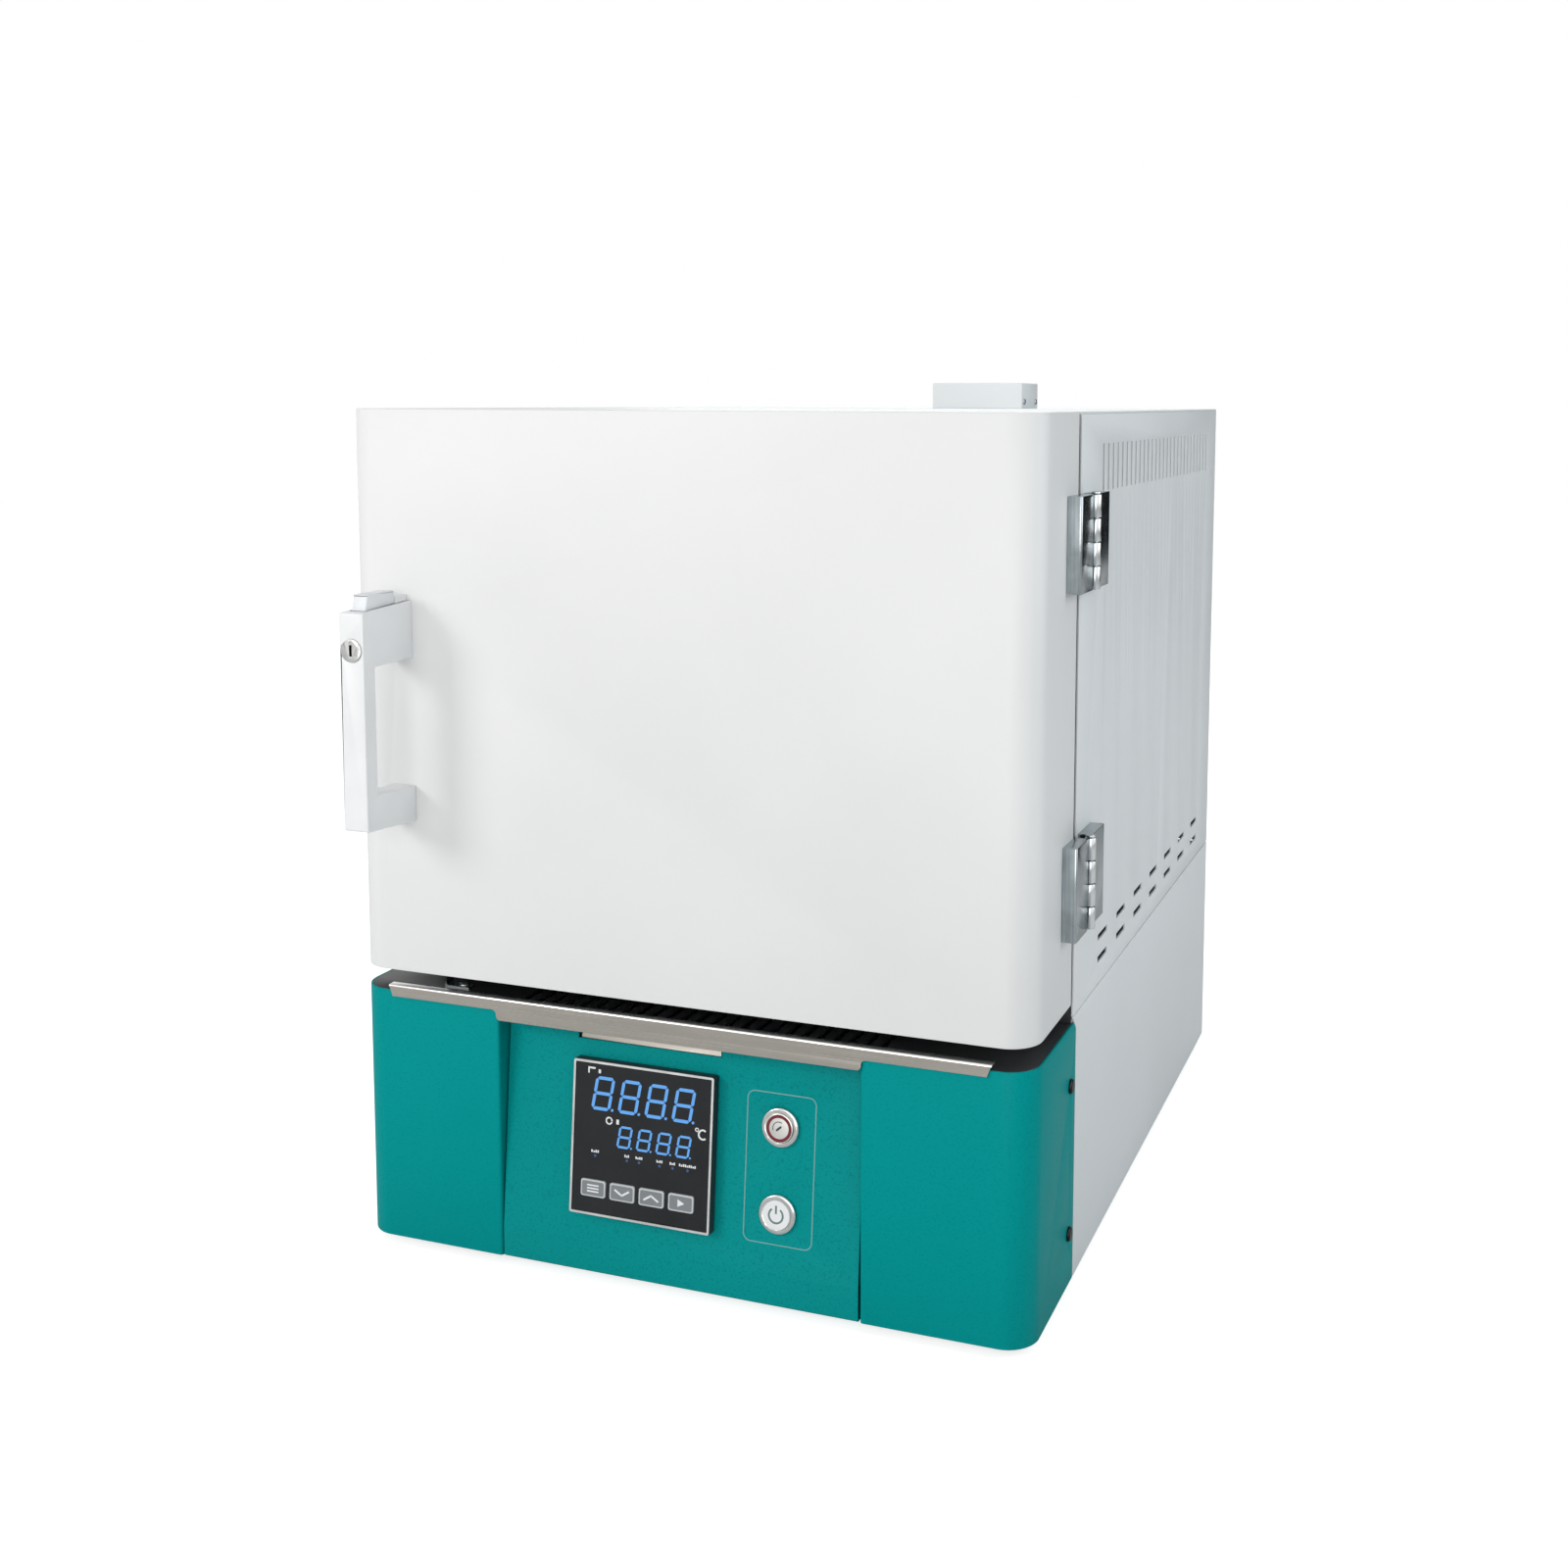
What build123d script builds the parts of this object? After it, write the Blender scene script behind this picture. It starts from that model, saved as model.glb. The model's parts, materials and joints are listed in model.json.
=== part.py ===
from build123d import *
import math
import os

os.makedirs("parts", exist_ok=True)

# Bench-top muffle furnace: a base cabinet with the controls, an insulated casing with a
# ceramic chamber on it, and a door hung on the right.  Millimetres and degrees.
# Modelling axes: X to the right from the cabinet's middle, Y from the door's face to the
# rear, Z up from the table.  The last lines move every piece to the bottom centre.

# Cabinet
CABINET_W = 450.0
CABINET_D = 560.0
SHEET = 1.5
CORNER_R = 20.0
BEND_R = 2.0
FOOT_H = 6.0
FOOT_R = 16.0
FOOT_TAPER = 2.0
FOOT_RECESS_R = 5.0
FOOT_RECESS_H = 3.0
FOOT_INSET_X = 40.0
FOOT_INSET_FRONT = 50.0
FOOT_INSET_REAR = 45.0
BASE_H = 164.5
CASING_H = 370.5
CASING_REVEAL = 1.0
BASE_SIDE_RISE = 4.0
FLOOR_FLANGE_H = 14.0
PAN_FLANGE_H = 15.0

# Teal front of the base
WING_INNER_X = 121.0
WING_DEPTH = 98.5
WING_RETURN = 19.0
WING_SIDE_GAP = 1.5
WING_CORNER_CUT = 5.0
LAP = 30.0
LAP_INSET = 10.0
PANEL_GAP = 1.0
PANEL_FOLD_H = 20.0
PANEL_SLOPE = 5.5
PANEL_BELOW_DECK = 12.5
PANEL_FLANGE = 20.0
PANEL_TOP_FLANGE = 12.0
FASCIA_SCREW_Y = 86.0
FASCIA_SCREW_HEIGHTS = (33.8, 127.4)
SCREW_HEAD_R = 4.5
SCREW_HEAD_H = 2.2
SCREW_HEAD_EDGE_R = 1.5
SCREW_SHANK_R = 2.2
SCREW_LENGTH = 8.0
SCREW_CLEARANCE = 0.2

# Stainless trim across the top of the front
TRIM_T = 1.5
TRIM_END_TOP = 24.2
TRIM_END_LOW = 27.0
TRIM_RISE = 4.0
TRIM_DROP_WINGS = 3.5
TRIM_DROP_MIDDLE = 10.0
TRIM_STEP_X = 122.0
TRIM_STEP_R = 3.0
TRIM_LIP = 6.0
TRIM_EDGE_R = 1.2

# Ventilation slots of the deck
DECK_SLOT_COUNT = 25
DECK_SLOT_PITCH = 10.0
DECK_SLOT_W = 4.0
DECK_SLOT_L = 46.0
DECK_SLOT_FRONT = 9.0
DECK_SLOT_MIDDLE_X = 10.0
DECK_LEAD_HOLE_R = 8.0
DECK_LEAD_HOLE_FROM_REAR = 28.0

# Ventilation slots of the casing
LOUVRE_COUNT = 28
LOUVRE_FIRST_Y = 150.0
LOUVRE_LAST_FROM_REAR = 44.0
LOUVRE_W = 4.5
LOUVRE_H = 29.0
LOUVRE_MIDDLE_FROM_TOP = 34.5
LOW_SLOT_COUNT = 7
LOW_SLOT_FIRST_Y = 168.0
LOW_SLOT_LAST_FROM_REAR = 65.3
LOW_SLOT_L = 27.0
LOW_SLOT_H = 4.0
LOW_SLOT_ROWS = (21.0, 35.5)
REAR_SLOT_COUNT = 9
REAR_SLOT_PITCH = 14.0
REAR_SLOT_L = 60.0
REAR_SLOT_H = 4.0
REAR_SLOT_X = 110.0
REAR_SLOT_FROM_TOP = 60.0
BASE_REAR_SLOT_COUNT = 6
BASE_REAR_SLOT_PITCH = 10.0
BASE_REAR_SLOT_X = 60.0
BASE_REAR_SLOT_FROM_DECK = 45.0

# Chamber and its insulation.  Air gaps to the casing set the jacket's size, and what is left
# is the side insulation and the chamber's depth, 300 at these sizes.
CHAMBER_W = 200.0
CHAMBER_H = 120.0
MUFFLE_WALL = 20.0
SIDE_AIR_GAP = 47.0
REAR_AIR_GAP = 50.5
TOP_INSULATION = 69.0
REAR_INSULATION = 62.0
JACKET_T = 1.0
RAIL_X = 110.0
RAIL_W = 30.0
HEARTH_T = 10.0
HEARTH_CLEARANCE = 4.0
HEARTH_R = 6.0
ELEMENT_COUNT = 4
ELEMENT_PITCH = 28.0
ELEMENT_R = 4.0
ELEMENT_GROOVE_PLAY = 0.3
ELEMENT_GROOVE_DEPTH = 12.0
ELEMENT_TAIL_R = 2.0
ELEMENT_TAIL_PLAY = 0.3
ELEMENT_TAIL_OUT = 14.0
ELEMENT_FRONT_INSET = 16.0
PROBE_R = 3.0
PROBE_PLAY = 0.2
PROBE_REACH = 30.0
PROBE_NOSE_R = 2.7
PROBE_Z_OFFSET = 34.0
PROBE_HEAD = (34.0, 26.0, 22.0)
PROBE_HEAD_CORNER_R = 5.0

# Flue and its cover on the roof
FLUE_X = 34.0
FLUE_BORE_R = 8.0
FLUE_BELOW_CHAMBER_TOP = 16.0
DUCT_W = 50.0
DUCT_D = 40.0
DUCT_T = 1.2
DUCT_BELOW_BORE = 20.0
DUCT_RISE = 5.0
DUCT_PLAY = 0.3
CHIMNEY_W = 78.0
CHIMNEY_D = 50.0
CHIMNEY_H = 21.0
CHIMNEY_FROM_REAR = 5.0
CHIMNEY_SLOT_COUNT = 4
CHIMNEY_SLOT_PITCH = 15.0
CHIMNEY_SLOT_W = 9.0
CHIMNEY_SLOT_H = 4.0
CHIMNEY_BEND_R = 1.2

# Door
DOOR_T = 87.0
DOOR_GAP = 4.0
DOOR_ABOVE_DECK = 13.5
DOOR_REAR_BEND_R = 3.0
DOOR_RETURN = 25.0
DOOR_FILL_SIDE_GAP = 60.0
PLUG_FLANGE_OVER = 18.0
PLUG_FLANGE_T = 25.0
PLUG_REACH = 32.0
PLUG_SIDE_CLEARANCE = 3.0
PLUG_TAPER = 4.0
SEAL_W = 8.0
SEAL_PLAY = 0.2
SEAL_REST_GAP = 0.3
SEAL_CORNER_R = 10.0
SEAL_CHAMFER = 2.0

# Hinges
HINGE_HEIGHTS = (88.8, 294.2)
HINGE_H = 56.5
HINGE_PROUD = 9.0
HINGE_DOOR_Y = 58.0
HINGE_CASING_Y = 128.0
HINGE_BOX_GAP = 5.0
HINGE_SHEET = 1.5
HINGE_BEND_R = 1.4
KNUCKLE_R = 3.4
KNUCKLE_COUNT = 4
KNUCKLE_GAP = 0.8
PIN_R = 1.7
PIN_PLAY = 0.05
PIN_HEAD_R = 2.8
PIN_HEAD_H = 1.2

# Door handle with its lock, thumb button and latch
HANDLE_FROM_SIDE = 38.7
HANDLE_W = 17.2
HANDLE_REACH = 50.0
HANDLE_GRIP_T = 11.3
HANDLE_LOW_ABOVE_DECK = 112.2
HANDLE_H = 140.1
HANDLE_LOW_ARM = 22.8
HANDLE_HIGH_ARM = 36.0
HANDLE_DRAFT = 3.4
HANDLE_INNER_DRAFT = 1.2
HANDLE_OUTER_R = 1.5
HANDLE_INNER_R = 1.5
RIDGE_H = 3.5
LOCK_R = 7.0
LOCK_PLAY = 0.05
LOCK_LENGTH = 17.0
LOCK_PROUD = 1.0
LOCK_BELOW_TOP = 26.0
KEYWAY_W = 1.8
KEYWAY_H = 7.0
KEYWAY_DEPTH = 9.0
THUMB_W = 10.2
THUMB_FRONT = 42.0
THUMB_REAR = 13.0
THUMB_RISE = 7.0
THUMB_SKIRT = 6.5
THUMB_SLOPE_Y = 2.5
THUMB_SLOPE_Z = 10.0
THUMB_EDGE_R = 0.8
THUMB_PLAY = 0.3
THUMB_TRAVEL = 5.0
THUMB_POCKET_SPARE = 1.0
LATCH_T = 3.6
LATCH_H = 9.0
LATCH_FRONT = 30.0
LATCH_REACH = 11.0
LATCH_PLAY = 0.3
LATCH_SLOT_SPARE = 0.9
LATCH_NOSE = 2.5
KEEPER_W = 18.0
KEEPER_H = 44.0
KEEPER_D = 12.0
KEEPER_PLAY = 0.7

# Controller on the sloping panel
CONTROLLER_X = -22.0
CONTROLLER_ABOVE_MIDDLE = 1.0
BEZEL = 96.0
BEZEL_PROUD = 7.0
BEZEL_R = 1.5
BEZEL_RIM = 1.8
CASE_BODY = 91.0
CASE_DEPTH = 74.0
CASE_PLAY = 0.3
WINDOW_T = 1.6
WINDOW_SET = 0.5
KEY_W = 17.0
KEY_H = 10.5
KEY_R = 1.5
KEY_PLAY = 0.2
KEY_PROUD = 0.9
KEY_TRAVEL = 0.5
KEY_STEM = 2.4
KEY_PITCH = 20.0
KEY_FIRST_X = -31.5
KEY_V = -31.0
KEY_NAMES = ("set_key", "down_key", "up_key", "run_key")
BACKPLATE_T = 1.5
BACKPLATE_BELOW = 10.0
NOTCH_DEPTH = 6.5
NOTCH_PLAY = 1.0

# Push-buttons
BUTTON_X = 67.5
BUTTON_PITCH = 52.2
BUTTONS_BELOW_MIDDLE = 3.0
BUTTON_FLANGE_R = 12.0
BUTTON_FLANGE_T = 2.4
BUTTON_FLANGE_CHAMFER = 0.7
BUTTON_BARREL_R = 11.0
BUTTON_HOLE_PLAY = 0.15
BUTTON_BARREL_LENGTH = 16.0
BUTTON_REAR_LENGTH = 16.0
BUTTON_REAR_R = 8.5
CAP_R = 9.0
CAP_PLAY = 0.08
CAP_PROUD = 1.0
CAP_EDGE_R = 0.6
CAP_T = 7.0
CAP_TRAVEL = 2.0
CAP_END_SPARE = 0.5
NUT_R = 14.0
NUT_T = 3.0
NUT_PLAY = 0.05

# Power parts inside the base, and the cable entry at the rear
SINK_W = 100.0
SINK_H = 90.0
SINK_BASE_T = 8.0
SINK_D = 46.0
SINK_FINS = 9
SINK_FIN_T = 2.0
SINK_X = -60.0
SINK_ABOVE_PAN = 25.0
RELAY_SIZE = (45.0, 23.0, 58.0)
RELAY_R = 2.0
TERMINAL_SIZE = (96.0, 34.0, 28.0)
TERMINAL_FROM_SIDE = 103.5
TERMINAL_FROM_REAR = 138.5
TERMINAL_WAYS = 8
TERMINAL_CUT = 2.0
TERMINAL_CUT_DEPTH = 12.0
GLAND_X = -150.0
GLAND_Z = 54.0
GLAND_R = 10.0
GLAND_PLAY = 0.1
GLAND_BORE_R = 5.0
GLAND_HEX_R = 14.0
GLAND_HEX_T = 6.0
GLAND_DOME_R = 11.5
GLAND_OUT = 20.0
GLAND_IN = 12.0
GLAND_DOME_FILLET = 4.0

# Levels and planes that follow from the sizes
HALF_W = CABINET_W / 2
INNER_HALF_W = HALF_W - SHEET
BASE_BOTTOM = FOOT_H
DECK_TOP = BASE_BOTTOM + BASE_H
BASE_SIDE_TOP = DECK_TOP + BASE_SIDE_RISE
CASING_TOP = DECK_TOP + CASING_H
CASING_SIDE_LOW = BASE_SIDE_TOP + CASING_REVEAL
CASING_FRONT = DOOR_T + DOOR_GAP
REAR_INNER = CABINET_D - SHEET
SIDE_FRONT = WING_DEPTH + WING_SIDE_GAP
DOOR_LOW = DECK_TOP + DOOR_ABOVE_DECK
DOOR_HIGH = CASING_TOP
CHAMBER_Z = (DOOR_LOW + DOOR_HIGH) / 2
CHAMBER_FRONT = CASING_FRONT + PLUG_REACH + HEARTH_CLEARANCE / 2
JACKET_HALF_W = INNER_HALF_W - SIDE_AIR_GAP
JACKET_REAR = REAR_INNER - REAR_AIR_GAP
SLEEVE_HALF_W = JACKET_HALF_W - JACKET_T
SLEEVE_REAR = JACKET_REAR - JACKET_T
MUFFLE_REAR = SLEEVE_REAR - REAR_INSULATION
CHAMBER_REAR = MUFFLE_REAR - MUFFLE_WALL
MUFFLE_HALF_W = CHAMBER_W / 2 + MUFFLE_WALL
MUFFLE_HALF_H = CHAMBER_H / 2 + MUFFLE_WALL
SLEEVE_HALF_H = MUFFLE_HALF_H + TOP_INSULATION
JACKET_HALF_H = SLEEVE_HALF_H + JACKET_T
DOOR_FILL_HALF_W = HALF_W - DOOR_FILL_SIDE_GAP
TRIM_HALF_TOP = HALF_W - TRIM_END_TOP
TRIM_HALF_LOW = HALF_W - TRIM_END_LOW
TERMINAL_X = INNER_HALF_W - TERMINAL_FROM_SIDE
TERMINAL_Y = REAR_INNER - TERMINAL_FROM_REAR
FLUE_Z = CHAMBER_Z + CHAMBER_H / 2 - FLUE_BELOW_CHAMBER_TOP
PROBE_Z = CHAMBER_Z + PROBE_Z_OFFSET
HINGE_X = HALF_W + HINGE_PROUD
HINGE_Y = CASING_FRONT
HANDLE_X = HANDLE_FROM_SIDE - HALF_W
HANDLE_LOW = DECK_TOP + HANDLE_LOW_ABOVE_DECK
HANDLE_HIGH = HANDLE_LOW + HANDLE_H
LOCK_Z = HANDLE_HIGH - LOCK_BELOW_TOP
LATCH_HIGH = HANDLE_HIGH - THUMB_SKIRT - LATCH_PLAY
LATCH_LOW = LATCH_HIGH - LATCH_H
PANEL_HALF_W = WING_INNER_X - PANEL_GAP
FOLD_Z = BASE_BOTTOM + PANEL_FOLD_H
PANEL_TOP = DECK_TOP - PANEL_BELOW_DECK
SLOPE_SIN = math.sin(math.radians(PANEL_SLOPE))
SLOPE_COS = math.cos(math.radians(PANEL_SLOPE))
PANEL_LENGTH = (PANEL_TOP - FOLD_Z) / SLOPE_COS
PANEL_TOP_Y = PANEL_LENGTH * SLOPE_SIN
CONTROLLER_V = PANEL_LENGTH / 2 + CONTROLLER_ABOVE_MIDDLE
BUTTON_MIDDLE_V = PANEL_LENGTH / 2 - BUTTONS_BELOW_MIDDLE
BUTTON_V = (BUTTON_MIDDLE_V - BUTTON_PITCH / 2, BUTTON_MIDDLE_V + BUTTON_PITCH / 2)

# On the sloping panel x runs to the right, v up the slope from the fold, n outwards
PANEL = Plane(
    origin=(0, 0, FOLD_Z), x_dir=(1, 0, 0), z_dir=(0, -SLOPE_COS, SLOPE_SIN)
).location

# Every piece by its name
PIECES = {}


def block(low, high):
    """Box between two opposite corners."""
    size = [b - a for a, b in zip(low, high)]
    middle = [(a + b) / 2 for a, b in zip(low, high)]
    return Pos(*middle) * Box(*size)


def along_y(x, z, radius, start, end):
    """Round bar along Y between two depths."""
    length = end - start
    return Pos(x, start + length / 2, z) * Rot(90, 0, 0) * Cylinder(radius, length)


def along_x(y, z, radius, start, end):
    """Round bar along X between two places."""
    length = end - start
    return Pos(start + length / 2, y, z) * Rot(0, 90, 0) * Cylinder(radius, length)


def spread(count, first, last):
    """Evenly spaced places from the first to the last."""
    return [first + (last - first) * i / (count - 1) for i in range(count)]


def centred(count, pitch, middle):
    """Evenly pitched places about a middle."""
    return [middle + pitch * (i - (count - 1) / 2) for i in range(count)]


def folded(points, radius, plane, length):
    """Sheet bent through a row of points, to the left of its path, drawn out to a length."""
    path = FilletPolyline(*points, radius=radius)
    outline = make_face(offset(path, amount=SHEET, side=Side.LEFT))
    return extrude(plane * outline, length)


def across(x):
    """Plane of Y and Z, facing right."""
    return Plane(origin=(x, 0, 0), x_dir=(0, 1, 0), z_dir=(1, 0, 0))


def side_plate(points, start, end):
    """Outline in Y and Z drawn out between two places along X."""
    face = make_face(Polyline(*points, close=True))
    return extrude(across(start) * face, end - start)


def mirrored(solid):
    """The same piece on the other side of the cabinet."""
    return mirror(solid, about=Plane.YZ)


def rounded_slab(half_w, front, rear, radius, low, high):
    """Slab whose two front upright edges are rounded."""
    slab = block((-half_w, front, low), (half_w, rear, high))
    return fillet(slab.edges().filter_by(Axis.Z).group_by(Axis.Y)[0], radius)


# Base cabinet


def base_pan():
    """Floor of the base with turned-up side flanges behind the teal wings."""
    floor = block(
        (-INNER_HALF_W, PANEL_FLANGE, BASE_BOTTOM),
        (INNER_HALF_W, REAR_INNER, BASE_BOTTOM + SHEET),
    )
    front = SIDE_FRONT + LAP
    flange = block(
        (INNER_HALF_W - SHEET, front, BASE_BOTTOM),
        (INNER_HALF_W, REAR_INNER, BASE_BOTTOM + PAN_FLANGE_H),
    )
    return floor + flange + mirrored(flange)


def rubber_feet():
    """Four tapered feet with a screw recess underneath."""
    foot = Cone(FOOT_R - FOOT_TAPER, FOOT_R, FOOT_H)
    foot -= Pos(0, 0, (FOOT_RECESS_H - FOOT_H) / 2) * Cylinder(FOOT_RECESS_R, FOOT_RECESS_H)
    places = [
        Pos(side * (HALF_W - FOOT_INSET_X), y, FOOT_H / 2)
        for side in (-1, 1)
        for y in (FOOT_INSET_FRONT, CABINET_D - FOOT_INSET_REAR)
    ]
    return [place * foot for place in places]


def fascia_screw_heights():
    """Heights of the fascia screws above the table."""
    return [BASE_BOTTOM + height for height in FASCIA_SCREW_HEIGHTS]


def screw_clearance(z, start, end):
    """Clearance hole of a fascia screw, along X."""
    return along_x(FASCIA_SCREW_Y, z, SCREW_SHANK_R + SCREW_CLEARANCE, start, end)


def base_side_panel():
    """Right wall of the base, risen over the deck, its top front corner drawn out over the wing."""
    nose = WING_CORNER_CUT + BASE_SIDE_RISE
    outline = [
        (SIDE_FRONT, BASE_BOTTOM),
        (SIDE_FRONT, DECK_TOP - WING_CORNER_CUT),
        (SIDE_FRONT - nose, BASE_SIDE_TOP),
        (CABINET_D, BASE_SIDE_TOP),
        (CABINET_D, BASE_BOTTOM),
    ]
    wall = side_plate(outline, INNER_HALF_W, HALF_W)
    strip = block(
        (INNER_HALF_W - SHEET, SIDE_FRONT - LAP, BASE_BOTTOM + LAP_INSET),
        (INNER_HALF_W, SIDE_FRONT + LAP / 2, DECK_TOP - LAP_INSET),
    )
    for z in fascia_screw_heights():
        strip -= screw_clearance(z, INNER_HALF_W - LAP, HALF_W)
    return wall + strip


def base_rear_panel():
    """Rear wall of the base with air slots and the hole of the cable gland."""
    wall = block((-INNER_HALF_W, REAR_INNER, BASE_BOTTOM), (INNER_HALF_W, CABINET_D, BASE_SIDE_TOP))
    wall -= along_y(GLAND_X, GLAND_Z, GLAND_R + GLAND_PLAY, REAR_INNER - SHEET, CABINET_D + SHEET)
    middle = DECK_TOP - BASE_REAR_SLOT_FROM_DECK
    for z in centred(BASE_REAR_SLOT_COUNT, BASE_REAR_SLOT_PITCH, middle):
        wall -= Pos(BASE_REAR_SLOT_X, CABINET_D, z) * Box(REAR_SLOT_L, 4 * SHEET, REAR_SLOT_H)
    return wall


def fascia_wing():
    """Right teal wing: front plate, rounded corner, side plate and inner return."""
    path = [
        (WING_INNER_X, WING_RETURN),
        (WING_INNER_X, 0),
        (HALF_W, 0),
        (HALF_W, WING_DEPTH),
    ]
    wing = folded(path, [BEND_R, CORNER_R], Plane.XY.offset(BASE_BOTTOM), BASE_H)
    under_deck = block(
        (WING_INNER_X, SHEET, DECK_TOP - SHEET),
        (WING_INNER_X + BEND_R, WING_RETURN + SHEET, DECK_TOP),
    )
    corner = [
        (WING_DEPTH - WING_CORNER_CUT - SHEET, DECK_TOP + SHEET),
        (WING_DEPTH + SHEET, DECK_TOP + SHEET),
        (WING_DEPTH + SHEET, DECK_TOP - WING_CORNER_CUT - SHEET),
    ]
    wing -= under_deck
    wing -= side_plate(corner, INNER_HALF_W - SHEET, HALF_W + SHEET)
    for z in fascia_screw_heights():
        wing -= screw_clearance(z, INNER_HALF_W - SHEET, HALF_W + SHEET)
    return wing


def fascia_screws():
    """Black screws that hold the wings to the base walls."""
    screws = []
    for z in fascia_screw_heights():
        head = along_x(FASCIA_SCREW_Y, z, SCREW_HEAD_R, HALF_W, HALF_W + SCREW_HEAD_H)
        head = fillet(head.edges().group_by(Axis.X)[-1], SCREW_HEAD_EDGE_R)
        screw = head + along_x(FASCIA_SCREW_Y, z, SCREW_SHANK_R, HALF_W - SCREW_LENGTH, HALF_W)
        screws += [screw, mirrored(screw)]
    return screws


def panel_profile():
    """Side view of the control panel's bends, from its floor flange to its top flange."""
    return [
        (PANEL_TOP_Y + PANEL_TOP_FLANGE, PANEL_TOP),
        (PANEL_TOP_Y, PANEL_TOP),
        (0, FOLD_Z),
        (0, BASE_BOTTOM),
        (PANEL_FLANGE, BASE_BOTTOM),
    ]


def control_panel():
    """Sloping teal panel with the controller cut-out, two button holes and a top notch."""
    radii = [BEND_R, 4 * BEND_R, BEND_R]
    panel = folded(panel_profile(), radii, across(-PANEL_HALF_W), 2 * PANEL_HALF_W)
    cut_out = CASE_BODY + 2 * CASE_PLAY
    panel -= PANEL * Pos(CONTROLLER_X, CONTROLLER_V, 0) * Box(cut_out, cut_out, 4 * SHEET)
    for v in BUTTON_V:
        panel -= PANEL * Pos(BUTTON_X, v, 0) * Cylinder(BUTTON_BARREL_R + BUTTON_HOLE_PLAY, 4 * SHEET)
    notch_w = BEZEL + 2 * NOTCH_PLAY
    notch = Box(notch_w, 2 * NOTCH_DEPTH, 2 * PANEL_TOP_FLANGE)
    return panel - PANEL * Pos(CONTROLLER_X, PANEL_LENGTH, 0) * notch


def stainless_trim():
    """Polished strip over the top of the front, deeper in the middle, with a turned lip."""
    top = DECK_TOP + TRIM_RISE
    wing_low = DECK_TOP - TRIM_DROP_WINGS
    middle_low = DECK_TOP - TRIM_DROP_MIDDLE
    face = make_face(
        Polyline(
            (-TRIM_HALF_TOP, top),
            (TRIM_HALF_TOP, top),
            (TRIM_HALF_LOW, wing_low),
            (TRIM_STEP_X, wing_low),
            (TRIM_STEP_X, middle_low),
            (-TRIM_STEP_X, middle_low),
            (-TRIM_STEP_X, wing_low),
            (-TRIM_HALF_LOW, wing_low),
            close=True,
        )
    )
    steps = face.vertices().filter_by(lambda p: abs(abs(p.X) - TRIM_STEP_X) < 1)
    face = fillet(steps, TRIM_STEP_R)
    strip = extrude(Plane.XZ * face, TRIM_T)
    lip = block((-TRIM_HALF_TOP, -TRIM_T, top - TRIM_T), (TRIM_HALF_TOP, TRIM_LIP - TRIM_T, top))
    trim = strip + lip
    top_edge = trim.edges().filter_by(Axis.X).group_by(Axis.Y)[0].group_by(Axis.Z)[-1]
    return fillet(top_edge, TRIM_EDGE_R)


def base_deck():
    """Black plate that closes the base, with a row of air slots under the door."""
    low = DECK_TOP - SHEET
    deck = rounded_slab(INNER_HALF_W, SHEET, REAR_INNER, CORNER_R - SHEET, low, DECK_TOP)
    middle_y = DECK_SLOT_FRONT + DECK_SLOT_L / 2
    for x in centred(DECK_SLOT_COUNT, DECK_SLOT_PITCH, DECK_SLOT_MIDDLE_X):
        deck -= Pos(x, middle_y, low) * Box(DECK_SLOT_W, DECK_SLOT_L, 4 * SHEET)
    return deck - lead_hole()


def lead_hole():
    """Passage for the heater leads from the base into the casing."""
    y = REAR_INNER - DECK_LEAD_HOLE_FROM_REAR
    return Pos(TERMINAL_X, y, DECK_TOP) * Cylinder(DECK_LEAD_HOLE_R, 8 * SHEET)


# Casing


def casing_floor():
    """Floor tray of the casing with the two rails that carry the insulated jacket."""
    high = DECK_TOP + SHEET
    front = CASING_FRONT + SHEET
    floor = block((-INNER_HALF_W, front, DECK_TOP), (INNER_HALF_W, REAR_INNER, high))
    flange = block(
        (INNER_HALF_W - SHEET, front, DECK_TOP),
        (INNER_HALF_W, REAR_INNER, DECK_TOP + FLOOR_FLANGE_H),
    )
    rail_top = CHAMBER_Z - JACKET_HALF_H
    inner_x = RAIL_X - RAIL_W / 2
    outer_x = RAIL_X + RAIL_W / 2
    rail = block((inner_x, front, DECK_TOP), (outer_x, JACKET_REAR, rail_top))
    rail -= block(
        (inner_x + SHEET, front - SHEET, high),
        (outer_x - SHEET, JACKET_REAR + SHEET, rail_top - SHEET),
    )
    half = flange + rail
    return floor + half + mirrored(half) - lead_hole()


def casing_side_panel():
    """Right wall of the casing with its tall louvres and the two rows of low slots."""
    wall = block(
        (INNER_HALF_W, CASING_FRONT, CASING_SIDE_LOW),
        (HALF_W, CABINET_D, CASING_TOP - SHEET),
    )
    high_z = CASING_TOP - LOUVRE_MIDDLE_FROM_TOP
    for y in spread(LOUVRE_COUNT, LOUVRE_FIRST_Y, CABINET_D - LOUVRE_LAST_FROM_REAR):
        wall -= Pos(HALF_W, y, high_z) * Box(4 * SHEET, LOUVRE_W, LOUVRE_H)
    last_y = CABINET_D - LOW_SLOT_LAST_FROM_REAR
    for height in LOW_SLOT_ROWS:
        for y in spread(LOW_SLOT_COUNT, LOW_SLOT_FIRST_Y, last_y):
            wall -= Pos(HALF_W, y, DECK_TOP + height) * Box(4 * SHEET, LOW_SLOT_L, LOW_SLOT_H)
    return wall


def duct_middle_y():
    """Depth of the flue duct's middle, against the jacket's rear."""
    return JACKET_REAR + DUCT_D / 2


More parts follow.
